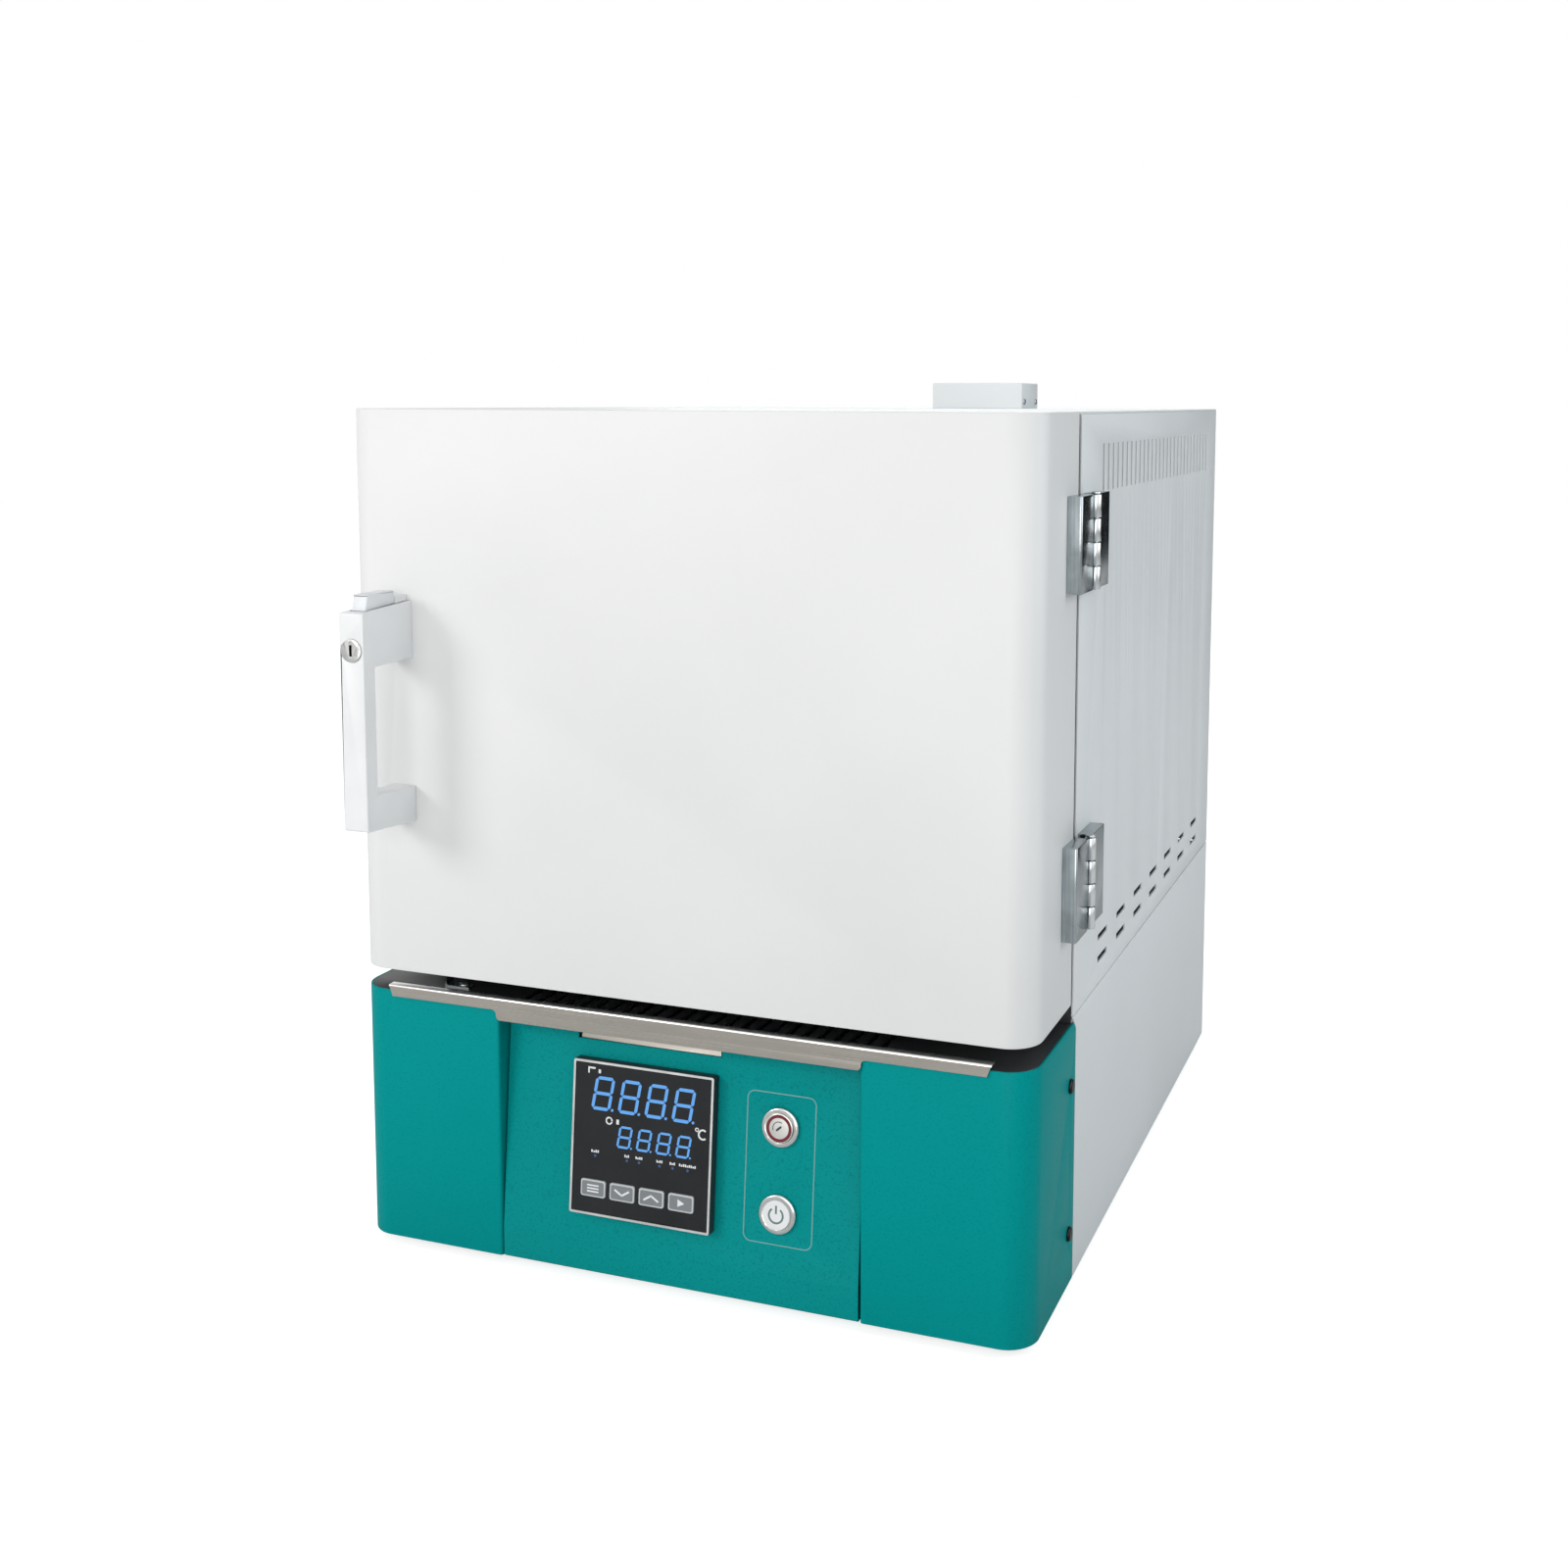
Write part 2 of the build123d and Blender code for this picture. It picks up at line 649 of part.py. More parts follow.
def casing_roof():
    """Roof sheet with the opening of the flue duct."""
    roof = block((-HALF_W, CASING_FRONT, CASING_TOP - SHEET), (HALF_W, CABINET_D, CASING_TOP))
    hole_w = DUCT_W + 2 * DUCT_PLAY
    hole_d = DUCT_D + 2 * DUCT_PLAY
    return roof - Pos(FLUE_X, duct_middle_y(), CASING_TOP) * Box(hole_w, hole_d, 4 * SHEET)


def casing_rear_panel():
    """Rear wall of the casing with two banks of air slots."""
    wall = block(
        (-INNER_HALF_W, REAR_INNER, CASING_SIDE_LOW),
        (INNER_HALF_W, CABINET_D, CASING_TOP - SHEET),
    )
    span = REAR_SLOT_PITCH * (REAR_SLOT_COUNT - 1)
    top = CASING_TOP - REAR_SLOT_FROM_TOP
    for z in spread(REAR_SLOT_COUNT, top - span, top):
        for x in (-REAR_SLOT_X, REAR_SLOT_X):
            wall -= Pos(x, CABINET_D, z) * Box(REAR_SLOT_L, 4 * SHEET, REAR_SLOT_H)
    return wall


def latch_slot(start, end, play):
    """Upright slot that the latch bar passes through and slides down in."""
    half = LATCH_T / 2 + play
    low = LATCH_LOW - THUMB_TRAVEL - LATCH_SLOT_SPARE
    high = LATCH_HIGH + LATCH_SLOT_SPARE / 2
    return block((HANDLE_X - half, start, low), (HANDLE_X + half, end, high))


def casing_front_frame():
    """Front plate of the casing round the chamber's mouth, with the latch slot."""
    plate = block(
        (-INNER_HALF_W, CASING_FRONT, DECK_TOP),
        (INNER_HALF_W, CASING_FRONT + SHEET, CASING_TOP - SHEET),
    )
    mouth = block(
        (-MUFFLE_HALF_W, CASING_FRONT - SHEET, CHAMBER_Z - MUFFLE_HALF_H),
        (MUFFLE_HALF_W, CASING_FRONT + 2 * SHEET, CHAMBER_Z + MUFFLE_HALF_H),
    )
    return plate - mouth - latch_slot(CASING_FRONT - SHEET, CASING_FRONT + 2 * SHEET, KEEPER_PLAY)


def latch_keeper():
    """Block behind the front plate that guides the latch's nose."""
    front = CASING_FRONT + SHEET
    middle_z = (LATCH_LOW - THUMB_TRAVEL + LATCH_HIGH) / 2
    keeper = Pos(HANDLE_X, front + KEEPER_D / 2, middle_z) * Box(KEEPER_W, KEEPER_D, KEEPER_H)
    keeper = fillet(keeper.edges().filter_by(Axis.Y), BEND_R)
    return keeper - latch_slot(front - SHEET, front + KEEPER_D + SHEET, KEEPER_PLAY)


# Chamber


def element_places():
    """Side and height of each heating element."""
    heights = centred(ELEMENT_COUNT, ELEMENT_PITCH, CHAMBER_Z)
    return [(side, z) for side in (-1, 1) for z in heights]


def element_x(side):
    """Distance of a heating element from the middle."""
    return side * (CHAMBER_W / 2 + ELEMENT_GROOVE_DEPTH / 2)


def rear_bores(start, end):
    """Bores through the rear walls for the flue, the probe and the element tails."""
    bores = [
        along_y(FLUE_X, FLUE_Z, FLUE_BORE_R, start, end),
        along_y(-FLUE_X, PROBE_Z, PROBE_R + PROBE_PLAY, start, end),
    ]
    for side, z in element_places():
        bores.append(along_y(element_x(side), z, ELEMENT_TAIL_R + ELEMENT_TAIL_PLAY, start, end))
    return bores


def inner_jacket():
    """Thin steel box round the insulation, open at the front."""
    outer = block(
        (-JACKET_HALF_W, CASING_FRONT + SHEET, CHAMBER_Z - JACKET_HALF_H),
        (JACKET_HALF_W, JACKET_REAR, CHAMBER_Z + JACKET_HALF_H),
    )
    hollow = block(
        (-SLEEVE_HALF_W, CASING_FRONT, CHAMBER_Z - SLEEVE_HALF_H),
        (SLEEVE_HALF_W, SLEEVE_REAR, CHAMBER_Z + SLEEVE_HALF_H),
    )
    jacket = outer - hollow
    for bore in rear_bores(SLEEVE_REAR - JACKET_T, JACKET_REAR + JACKET_T):
        jacket -= bore
    return jacket


def insulation_sleeve():
    """Fibre insulation round the four sides of the muffle."""
    front = CASING_FRONT + SHEET
    outer = block(
        (-SLEEVE_HALF_W, front, CHAMBER_Z - SLEEVE_HALF_H),
        (SLEEVE_HALF_W, MUFFLE_REAR, CHAMBER_Z + SLEEVE_HALF_H),
    )
    hollow = block(
        (-MUFFLE_HALF_W, front - SHEET, CHAMBER_Z - MUFFLE_HALF_H),
        (MUFFLE_HALF_W, MUFFLE_REAR + SHEET, CHAMBER_Z + MUFFLE_HALF_H),
    )
    return outer - hollow


def insulation_rear():
    """Fibre block behind the muffle."""
    board = block(
        (-SLEEVE_HALF_W, MUFFLE_REAR, CHAMBER_Z - SLEEVE_HALF_H),
        (SLEEVE_HALF_W, SLEEVE_REAR, CHAMBER_Z + SLEEVE_HALF_H),
    )
    for bore in rear_bores(MUFFLE_REAR - SHEET, SLEEVE_REAR + SHEET):
        board -= bore
    return board


def muffle_floor():
    """Floor board of the muffle; the roof board is the same one higher up."""
    low = CHAMBER_Z - MUFFLE_HALF_H
    return block((-MUFFLE_HALF_W, CASING_FRONT, low), (MUFFLE_HALF_W, MUFFLE_REAR, low + MUFFLE_WALL))


def muffle_side_wall():
    """Right wall board with a groove for each heating element."""
    wall = block(
        (CHAMBER_W / 2, CASING_FRONT, CHAMBER_Z - CHAMBER_H / 2),
        (MUFFLE_HALF_W, MUFFLE_REAR, CHAMBER_Z + CHAMBER_H / 2),
    )
    half = ELEMENT_R + ELEMENT_GROOVE_PLAY
    start = CHAMBER_FRONT + ELEMENT_FRONT_INSET - ELEMENT_R
    bottom_x = CHAMBER_W / 2 + ELEMENT_GROOVE_DEPTH
    tail_r = ELEMENT_TAIL_R + ELEMENT_TAIL_PLAY
    for z in centred(ELEMENT_COUNT, ELEMENT_PITCH, CHAMBER_Z):
        wall -= block((CHAMBER_W / 2 - SHEET, start, z - half), (bottom_x, CHAMBER_REAR, z + half))
        wall -= along_y(element_x(1), z, tail_r, CHAMBER_REAR - SHEET, MUFFLE_REAR + SHEET)
    return wall


def muffle_rear_wall():
    """Rear wall board between the side walls."""
    wall = block(
        (-CHAMBER_W / 2, CHAMBER_REAR, CHAMBER_Z - CHAMBER_H / 2),
        (CHAMBER_W / 2, MUFFLE_REAR, CHAMBER_Z + CHAMBER_H / 2),
    )
    for bore in rear_bores(CHAMBER_REAR - SHEET, MUFFLE_REAR + SHEET)[:2]:
        wall -= bore
    return wall


def heating_elements():
    """Heating rods in the side grooves, each with a thin tail out through the rear."""
    rods = []
    for side, z in element_places():
        x = element_x(side)
        rod = along_y(x, z, ELEMENT_R, CHAMBER_FRONT + ELEMENT_FRONT_INSET, CHAMBER_REAR)
        tail = along_y(x, z, ELEMENT_TAIL_R, CHAMBER_REAR, JACKET_REAR + ELEMENT_TAIL_OUT)
        rods.append(rod + tail)
    return rods


def hearth_plate():
    """Loose ceramic plate on the chamber floor."""
    half = CHAMBER_W / 2 - HEARTH_CLEARANCE
    low = CHAMBER_Z - CHAMBER_H / 2
    plate = block((-half, CHAMBER_FRONT, low), (half, CHAMBER_REAR - HEARTH_CLEARANCE, low + HEARTH_T))
    return fillet(plate.edges().filter_by(Axis.Z), HEARTH_R)


def thermocouple_sheath():
    """Round-nosed ceramic sheath of the temperature probe."""
    sheath = along_y(-FLUE_X, PROBE_Z, PROBE_R, CHAMBER_REAR - PROBE_REACH, JACKET_REAR)
    return fillet(sheath.edges().group_by(Axis.Y)[0], PROBE_NOSE_R)


def thermocouple_head():
    """Connection block of the probe on the rear of the jacket."""
    width, depth, height = PROBE_HEAD
    head = Pos(-FLUE_X, JACKET_REAR + depth / 2, PROBE_Z) * Box(width, depth, height)
    return fillet(head.edges().filter_by(Axis.Y), PROBE_HEAD_CORNER_R)


def flue_duct():
    """Box duct that carries the fumes from the rear bore up through the roof."""
    low = FLUE_Z - DUCT_BELOW_BORE
    high = CASING_TOP + DUCT_RISE
    middle = Pos(FLUE_X, duct_middle_y(), (low + high) / 2)
    outer = middle * Box(DUCT_W, DUCT_D, high - low)
    hollow = Pos(0, 0, DUCT_T) * middle * Box(DUCT_W - 2 * DUCT_T, DUCT_D - 2 * DUCT_T, high - low)
    bore = along_y(FLUE_X, FLUE_Z, FLUE_BORE_R, JACKET_REAR - DUCT_T, JACKET_REAR + 2 * DUCT_T)
    return outer - hollow - bore


def chimney_cover():
    """Cover on the roof over the duct, open at its slotted rear."""
    middle_y = CABINET_D - CHIMNEY_FROM_REAR - CHIMNEY_D / 2
    outer = Pos(FLUE_X, middle_y, CASING_TOP + CHIMNEY_H / 2) * Box(CHIMNEY_W, CHIMNEY_D, CHIMNEY_H)
    outer = fillet(outer.edges().filter_by(Axis.Y).group_by(Axis.Z)[-1], CHIMNEY_BEND_R)
    hollow = Pos(FLUE_X, middle_y, CASING_TOP + CHIMNEY_H / 2 - SHEET)
    cover = outer - hollow * Box(CHIMNEY_W - 2 * SHEET, CHIMNEY_D - 2 * SHEET, CHIMNEY_H)
    slot_z = CASING_TOP + CHIMNEY_H / 2
    for x in centred(CHIMNEY_SLOT_COUNT, CHIMNEY_SLOT_PITCH, FLUE_X):
        cover -= Pos(x, middle_y + CHIMNEY_D / 2, slot_z) * Box(CHIMNEY_SLOT_W, 4 * SHEET, CHIMNEY_SLOT_H)
    return cover


# Hinges


def knuckle_spans(middle):
    """Low and high end of each knuckle of one hinge."""
    pitch = HINGE_H / KNUCKLE_COUNT
    low = middle - HINGE_H / 2
    spans = []
    for i in range(KNUCKLE_COUNT):
        spans.append((low + i * pitch + KNUCKLE_GAP / 2, low + (i + 1) * pitch - KNUCKLE_GAP / 2))
    return spans


def hinge_leaf(middle, far_y, first):
    """Box-section leaf from its far edge to the barrel, with every second knuckle."""
    towards = 1 if far_y < HINGE_Y else -1
    near_y = HINGE_Y - towards * HINGE_BOX_GAP
    low = middle - HINGE_H / 2
    high = middle + HINGE_H / 2
    ys = sorted((far_y, near_y))
    shell = block((HALF_W, ys[0], low), (HINGE_X, ys[1], high))
    far_edge = shell.edges().filter_by(Axis.Z).sort_by(Axis.X)[-2:].sort_by(Axis.Y)
    shell = fillet(far_edge[0] if towards > 0 else far_edge[-1], HINGE_BEND_R)
    inner = sorted((far_y + towards * HINGE_SHEET, near_y + towards * HINGE_SHEET))
    shell -= block(
        (HALF_W + HINGE_SHEET, inner[0], low + HINGE_SHEET),
        (HINGE_X - HINGE_SHEET, inner[1], high - HINGE_SHEET),
    )
    for span in knuckle_spans(middle)[first::2]:
        height = span[1] - span[0]
        centre = (span[0] + span[1]) / 2
        reach = sorted((near_y - towards * HINGE_SHEET, HINGE_Y))
        shell += block((HINGE_X - HINGE_SHEET, reach[0], span[0]), (HINGE_X, reach[1], span[1]))
        shell += Pos(HINGE_X, HINGE_Y, centre) * Cylinder(KNUCKLE_R, height)
    return shell - Pos(HINGE_X, HINGE_Y, middle) * Cylinder(PIN_R + PIN_PLAY, 2 * HINGE_H)


def hinge_leaves(far_y, first):
    """The same leaf at both hinge heights."""
    return [hinge_leaf(DECK_TOP + height, far_y, first) for height in HINGE_HEIGHTS]


def hinge_pins():
    """Hinge pins with a low head on top."""
    pins = []
    for height in HINGE_HEIGHTS:
        middle = DECK_TOP + height
        top = middle + HINGE_H / 2
        pin = Pos(HINGE_X, HINGE_Y, middle) * Cylinder(PIN_R, HINGE_H)
        head = Pos(HINGE_X, HINGE_Y, top + PIN_HEAD_H / 2) * Cylinder(PIN_HEAD_R, PIN_HEAD_H)
        pins.append(pin + head)
    return pins


# Door


def door_shell():
    """Folded door tray, open at the rear inside its return flange."""
    outer = rounded_slab(HALF_W, 0, DOOR_T, CORNER_R, DOOR_LOW, DOOR_HIGH)
    outer = fillet(outer.edges().filter_by(Axis.Z).group_by(Axis.Y)[-1], DOOR_REAR_BEND_R)
    low = DOOR_LOW + SHEET
    high = DOOR_HIGH - SHEET
    inner = rounded_slab(INNER_HALF_W, SHEET, DOOR_T - SHEET, CORNER_R - SHEET, low, high)
    inner = fillet(inner.edges().filter_by(Axis.Z).group_by(Axis.Y)[-1], DOOR_REAR_BEND_R - SHEET)
    opening = block(
        (-HALF_W + DOOR_RETURN, DOOR_T - 2 * SHEET, DOOR_LOW + DOOR_RETURN),
        (HALF_W - DOOR_RETURN, DOOR_T + SHEET, DOOR_HIGH - DOOR_RETURN),
    )
    return outer - inner - opening - latch_slot(-SHEET, 2 * SHEET, LATCH_PLAY)


def plug_flange_half():
    """Half width and half height of the plug's hidden flange."""
    half_w = CHAMBER_W / 2 + PLUG_FLANGE_OVER
    half_h = CHAMBER_H / 2 + PLUG_FLANGE_OVER
    return half_w, half_h


def plug_flange():
    """Hidden flange of the ceramic plug, let into the door's insulation."""
    half_w, half_h = plug_flange_half()
    middle = Pos(0, DOOR_T - PLUG_FLANGE_T / 2, CHAMBER_Z)
    return middle * Box(2 * half_w, PLUG_FLANGE_T, 2 * half_h)


def door_inner_plate():
    """Rear sheet of the door round the ceramic plug."""
    plate = block(
        (-HALF_W + DOOR_RETURN, DOOR_T - SHEET, DOOR_LOW + DOOR_RETURN),
        (HALF_W - DOOR_RETURN, DOOR_T, DOOR_HIGH - DOOR_RETURN),
    )
    half_w, half_h = plug_flange_half()
    window = Pos(0, DOOR_T, CHAMBER_Z) * Box(2 * half_w, 4 * SHEET, 2 * half_h)
    return plate - window - latch_slot(DOOR_T - 2 * SHEET, DOOR_T + SHEET, LATCH_PLAY)


def door_insulation():
    """Fibre block that fills the middle of the door round the plug's flange."""
    half_h = (DOOR_HIGH - DOOR_LOW) / 2 - SHEET
    fill = block(
        (-DOOR_FILL_HALF_W, SHEET, CHAMBER_Z - half_h),
        (DOOR_FILL_HALF_W, DOOR_T - SHEET, CHAMBER_Z + half_h),
    )
    return fill - plug_flange()


def seal_ring(width, depth, front):
    """Rectangular ring on the muffle's rim, centred on the wall of the mouth."""
    middle_w = CHAMBER_W + MUFFLE_WALL
    middle_h = CHAMBER_H + MUFFLE_WALL
    plane = Plane(origin=(0, front, CHAMBER_Z), x_dir=(1, 0, 0), z_dir=(0, 1, 0))
    outside = RectangleRounded(middle_w + width, middle_h + width, SEAL_CORNER_R + width / 2)
    inside = RectangleRounded(middle_w - width, middle_h - width, SEAL_CORNER_R - width / 2)
    return extrude(plane * (outside - inside), depth)


def seal_front():
    """Depth at which the seal's hidden side starts."""
    return CASING_FRONT - SEAL_REST_GAP - SEAL_W


def door_plug():
    """Ceramic plug that closes the mouth: hidden flange, tapered nose and seal groove."""
    root_w = CHAMBER_W - 2 * PLUG_SIDE_CLEARANCE
    root_h = CHAMBER_H - 2 * PLUG_SIDE_CLEARANCE
    root = Plane(origin=(0, DOOR_T, CHAMBER_Z), x_dir=(1, 0, 0), z_dir=(0, 1, 0))
    length = DOOR_GAP + PLUG_REACH
    nose = loft(
        [
            root * Rectangle(root_w, root_h),
            root.offset(length) * Rectangle(root_w - 2 * PLUG_TAPER, root_h - 2 * PLUG_TAPER),
        ]
    )
    groove = seal_ring(SEAL_W + 2 * SEAL_PLAY, DOOR_T, seal_front())
    return plug_flange() + nose - groove


def door_seal():
    """Glass-fibre rope pressed into the plug's groove."""
    ring = seal_ring(SEAL_W, SEAL_W, seal_front())
    return chamfer(ring.edges().group_by(Axis.Y)[-1], SEAL_CHAMFER)


# Handle


def about_handle(points, half_width):
    """Outline in Y and Z given a width about the handle's middle."""
    return side_plate(points, HANDLE_X - half_width, HANDLE_X + half_width)


def thumb_pocket():
    """Pocket in the handle's top for the thumb button and its travel."""
    low = HANDLE_HIGH - THUMB_SKIRT - THUMB_TRAVEL - THUMB_POCKET_SPARE
    half = THUMB_W / 2 + THUMB_PLAY
    return block(
        (HANDLE_X - half, -THUMB_FRONT - THUMB_PLAY, low),
        (HANDLE_X + half, -THUMB_REAR + THUMB_PLAY, HANDLE_HIGH + THUMB_RISE),
    )


def handle_body():
    """Bow handle with drafted arms, the thumb-button ridge, the lock bore and the latch slot."""
    front = -HANDLE_REACH
    bow = about_handle(
        [
            (0, HANDLE_LOW),
            (front, HANDLE_LOW + HANDLE_DRAFT),
            (front, HANDLE_HIGH - HANDLE_DRAFT),
            (0, HANDLE_HIGH),
        ],
        HANDLE_W / 2,
    )
    bow = fillet(bow.edges().filter_by(Axis.X).group_by(Axis.Y)[0], HANDLE_OUTER_R)
    gap_low = HANDLE_LOW + HANDLE_LOW_ARM
    gap_high = HANDLE_HIGH - HANDLE_HIGH_ARM
    gap = about_handle(
        [
            (SHEET, gap_low),
            (front + HANDLE_GRIP_T, gap_low + HANDLE_INNER_DRAFT),
            (front + HANDLE_GRIP_T, gap_high - HANDLE_INNER_DRAFT),
            (SHEET, gap_high),
        ],
        HANDLE_W,
    )
    bow -= fillet(gap.edges().filter_by(Axis.X).group_by(Axis.Y)[0], HANDLE_INNER_R)
    ridge = block(
        (HANDLE_X - THUMB_W / 2, -THUMB_REAR + 2 * THUMB_PLAY, HANDLE_HIGH - HANDLE_DRAFT),
        (HANDLE_X + THUMB_W / 2, 0, HANDLE_HIGH + RIDGE_H),
    )
    bore = along_y(HANDLE_X, LOCK_Z, LOCK_R, front - SHEET, front + LOCK_LENGTH + LOCK_PLAY)
    slot = latch_slot(-LATCH_FRONT - LATCH_PLAY, SHEET, LATCH_PLAY)
    return bow + ridge - thumb_pocket() - bore - slot


def thumb_button():
    """Button pressed down with the thumb, with a sloping front."""
    low = HANDLE_HIGH - THUMB_SKIRT
    high = HANDLE_HIGH + THUMB_RISE
    button = about_handle(
        [
            (-THUMB_FRONT, low),
            (-THUMB_FRONT, high - THUMB_SLOPE_Z),
            (-THUMB_FRONT + THUMB_SLOPE_Y, high),
            (-THUMB_REAR, high),
            (-THUMB_REAR, low),
        ],
        THUMB_W / 2,
    )
    return fillet(button.edges().group_by(Axis.Z)[-1], THUMB_EDGE_R)


def latch_bar():
    """Flat bar from under the thumb button through the door, with a bevelled nose."""
    tip = CASING_FRONT + LATCH_REACH
    return about_handle(
        [
            (-LATCH_FRONT, LATCH_LOW),
            (tip, LATCH_LOW),
            (tip, LATCH_HIGH - LATCH_NOSE),
            (tip - LATCH_NOSE, LATCH_HIGH),
            (-LATCH_FRONT, LATCH_HIGH),
        ],
        LATCH_T / 2,
    )


def key_cylinder():
    """Lock barrel in the handle's front, with a keyway."""
    front = -HANDLE_REACH - LOCK_PROUD
    barrel = along_y(HANDLE_X, LOCK_Z, LOCK_R - LOCK_PLAY, front, -HANDLE_REACH + LOCK_LENGTH)
    keyway = Pos(HANDLE_X, front, LOCK_Z) * Box(KEYWAY_W, 2 * KEYWAY_DEPTH, KEYWAY_H)
    return barrel - keyway


# Controls


def key_places():
    """Each controller key's name and middle on the panel."""
    first = CONTROLLER_X + KEY_FIRST_X
    v = CONTROLLER_V + KEY_V
    return [(name, first + i * KEY_PITCH, v) for i, name in enumerate(KEY_NAMES)]


def key_block(x, v, play, low, high):
    """Rounded key body between two levels over the panel."""
    outline = RectangleRounded(KEY_W + 2 * play, KEY_H + 2 * play, KEY_R + play)
    return PANEL * Pos(x, v, low) * extrude(outline, high - low)


def window_level():
    """Outer face of the controller's glass over the panel."""
    return BEZEL_PROUD - WINDOW_SET


def controller_case():
    """Controller housing: rear box, front bezel, window recess and key pockets."""
    bezel = extrude(RectangleRounded(BEZEL, BEZEL, BEZEL_R), BEZEL_PROUD)
    box = Pos(0, 0, -CASE_DEPTH / 2) * Box(CASE_BODY, CASE_BODY, CASE_DEPTH)
    glass = window_level()
    window = BEZEL - 2 * BEZEL_RIM
    recess_t = WINDOW_T + 2 * WINDOW_SET
    recess = Pos(0, 0, glass - WINDOW_T + recess_t / 2) * Box(window, window, recess_t)
    case = PANEL * Pos(CONTROLLER_X, CONTROLLER_V, 0) * (bezel + box - recess)
    for _, x, v in key_places():
        case -= key_block(x, v, KEY_PLAY, glass - WINDOW_T - KEY_STEM - 2 * KEY_TRAVEL, BEZEL_PROUD)
    return case


def controller_window():
    """Black glass face of the controller with openings for the keys."""
    window = BEZEL - 2 * BEZEL_RIM
    glass = window_level()
    pane = PANEL * Pos(CONTROLLER_X, CONTROLLER_V, glass - WINDOW_T / 2) * Box(window, window, WINDOW_T)
    for _, x, v in key_places():
        pane -= key_block(x, v, KEY_PLAY, glass - 2 * WINDOW_T, glass + WINDOW_T)
    return pane


def controller_key(x, v):
    """One key of the controller."""
    glass = window_level()
    return key_block(x, v, 0, glass - WINDOW_T - KEY_STEM, glass + KEY_PROUD)


def controller_backplate():
    """Bright steel stiffener behind the panel, whose top shows in the notch."""
    low = CONTROLLER_V - CASE_BODY / 2 - BACKPLATE_BELOW
    length = PANEL_LENGTH - BEND_R - low
    middle = Pos(CONTROLLER_X, low + length / 2, -SHEET - BACKPLATE_T / 2)
    plate = middle * Box(BEZEL, length, BACKPLATE_T)
    opening = CASE_BODY + 2 * CASE_PLAY
    plate -= Pos(CONTROLLER_X, CONTROLLER_V, -SHEET) * Box(opening, opening, 8 * BACKPLATE_T)
    return PANEL * plate


def button_housing(v):
    """Chromed push-button housing: flange, barrel and the bore of its cap."""
    flange = Pos(0, 0, BUTTON_FLANGE_T / 2) * Cylinder(BUTTON_FLANGE_R, BUTTON_FLANGE_T)
    flange = chamfer(flange.edges().group_by(Axis.Z)[-1], BUTTON_FLANGE_CHAMFER)
    barrel = Pos(0, 0, -BUTTON_BARREL_LENGTH / 2) * Cylinder(BUTTON_BARREL_R, BUTTON_BARREL_LENGTH)
    rear_middle = -BUTTON_BARREL_LENGTH - BUTTON_REAR_LENGTH / 2
    rear = Pos(0, 0, rear_middle) * Cylinder(BUTTON_REAR_R, BUTTON_REAR_LENGTH)
    depth = CAP_T + CAP_TRAVEL + CAP_END_SPARE
    bore = Pos(0, 0, BUTTON_FLANGE_T + CAP_PROUD - depth / 2) * Cylinder(CAP_R, depth)
    return PANEL * Pos(BUTTON_X, v, 0) * (flange + barrel + rear - bore)


def button_cap(v):
    """Round cap that is pressed in."""
    cap = Pos(0, 0, BUTTON_FLANGE_T + CAP_PROUD - CAP_T / 2) * Cylinder(CAP_R - CAP_PLAY, CAP_T)
    cap = fillet(cap.edges().group_by(Axis.Z)[-1], CAP_EDGE_R)
    return PANEL * Pos(BUTTON_X, v, 0) * cap


def button_nut(v):
    """Hexagon nut that clamps a button behind the panel."""
    hexagon = extrude(RegularPolygon(NUT_R, 6), NUT_T)
    nut = hexagon - Cylinder(BUTTON_BARREL_R + NUT_PLAY, 4 * NUT_T)
    return PANEL * Pos(BUTTON_X, v, -SHEET - NUT_T) * nut


# Power parts


def relay_heat_sink():
    """Finned aluminium heat sink on the rear wall of the base."""
    low = BASE_BOTTOM + SHEET + SINK_ABOVE_PAN
    front = REAR_INNER - SINK_D
    high = low + SINK_H
    half = SINK_W / 2
    sink = block((SINK_X - half, front, low), (SINK_X + half, front + SINK_BASE_T, high))
    for x in centred(SINK_FINS, (SINK_W - SINK_FIN_T) / (SINK_FINS - 1), SINK_X):
        sink += block((x - SINK_FIN_T / 2, front, low), (x + SINK_FIN_T / 2, REAR_INNER, high))
    return sink


def solid_state_relay():
    """Relay block on the heat sink's front."""
    width, depth, height = RELAY_SIZE
    middle_z = BASE_BOTTOM + SHEET + SINK_ABOVE_PAN + SINK_H / 2
    relay = Pos(SINK_X, REAR_INNER - SINK_D - depth / 2, middle_z) * Box(width, depth, height)
    return fillet(relay.edges().filter_by(Axis.Y), RELAY_R)


def terminal_block():
    """Row of terminals on the pan, with a saw cut between the ways."""
    width, depth, height = TERMINAL_SIZE
    low = BASE_BOTTOM + SHEET
    terminals = Pos(TERMINAL_X, TERMINAL_Y, low + height / 2) * Box(width, depth, height)
    pitch = width / TERMINAL_WAYS
    cut = Box(TERMINAL_CUT, 2 * depth, 2 * TERMINAL_CUT_DEPTH)
    for x in centred(TERMINAL_WAYS - 1, pitch, TERMINAL_X):
        terminals -= Pos(x, TERMINAL_Y, low + height) * cut
    return terminals


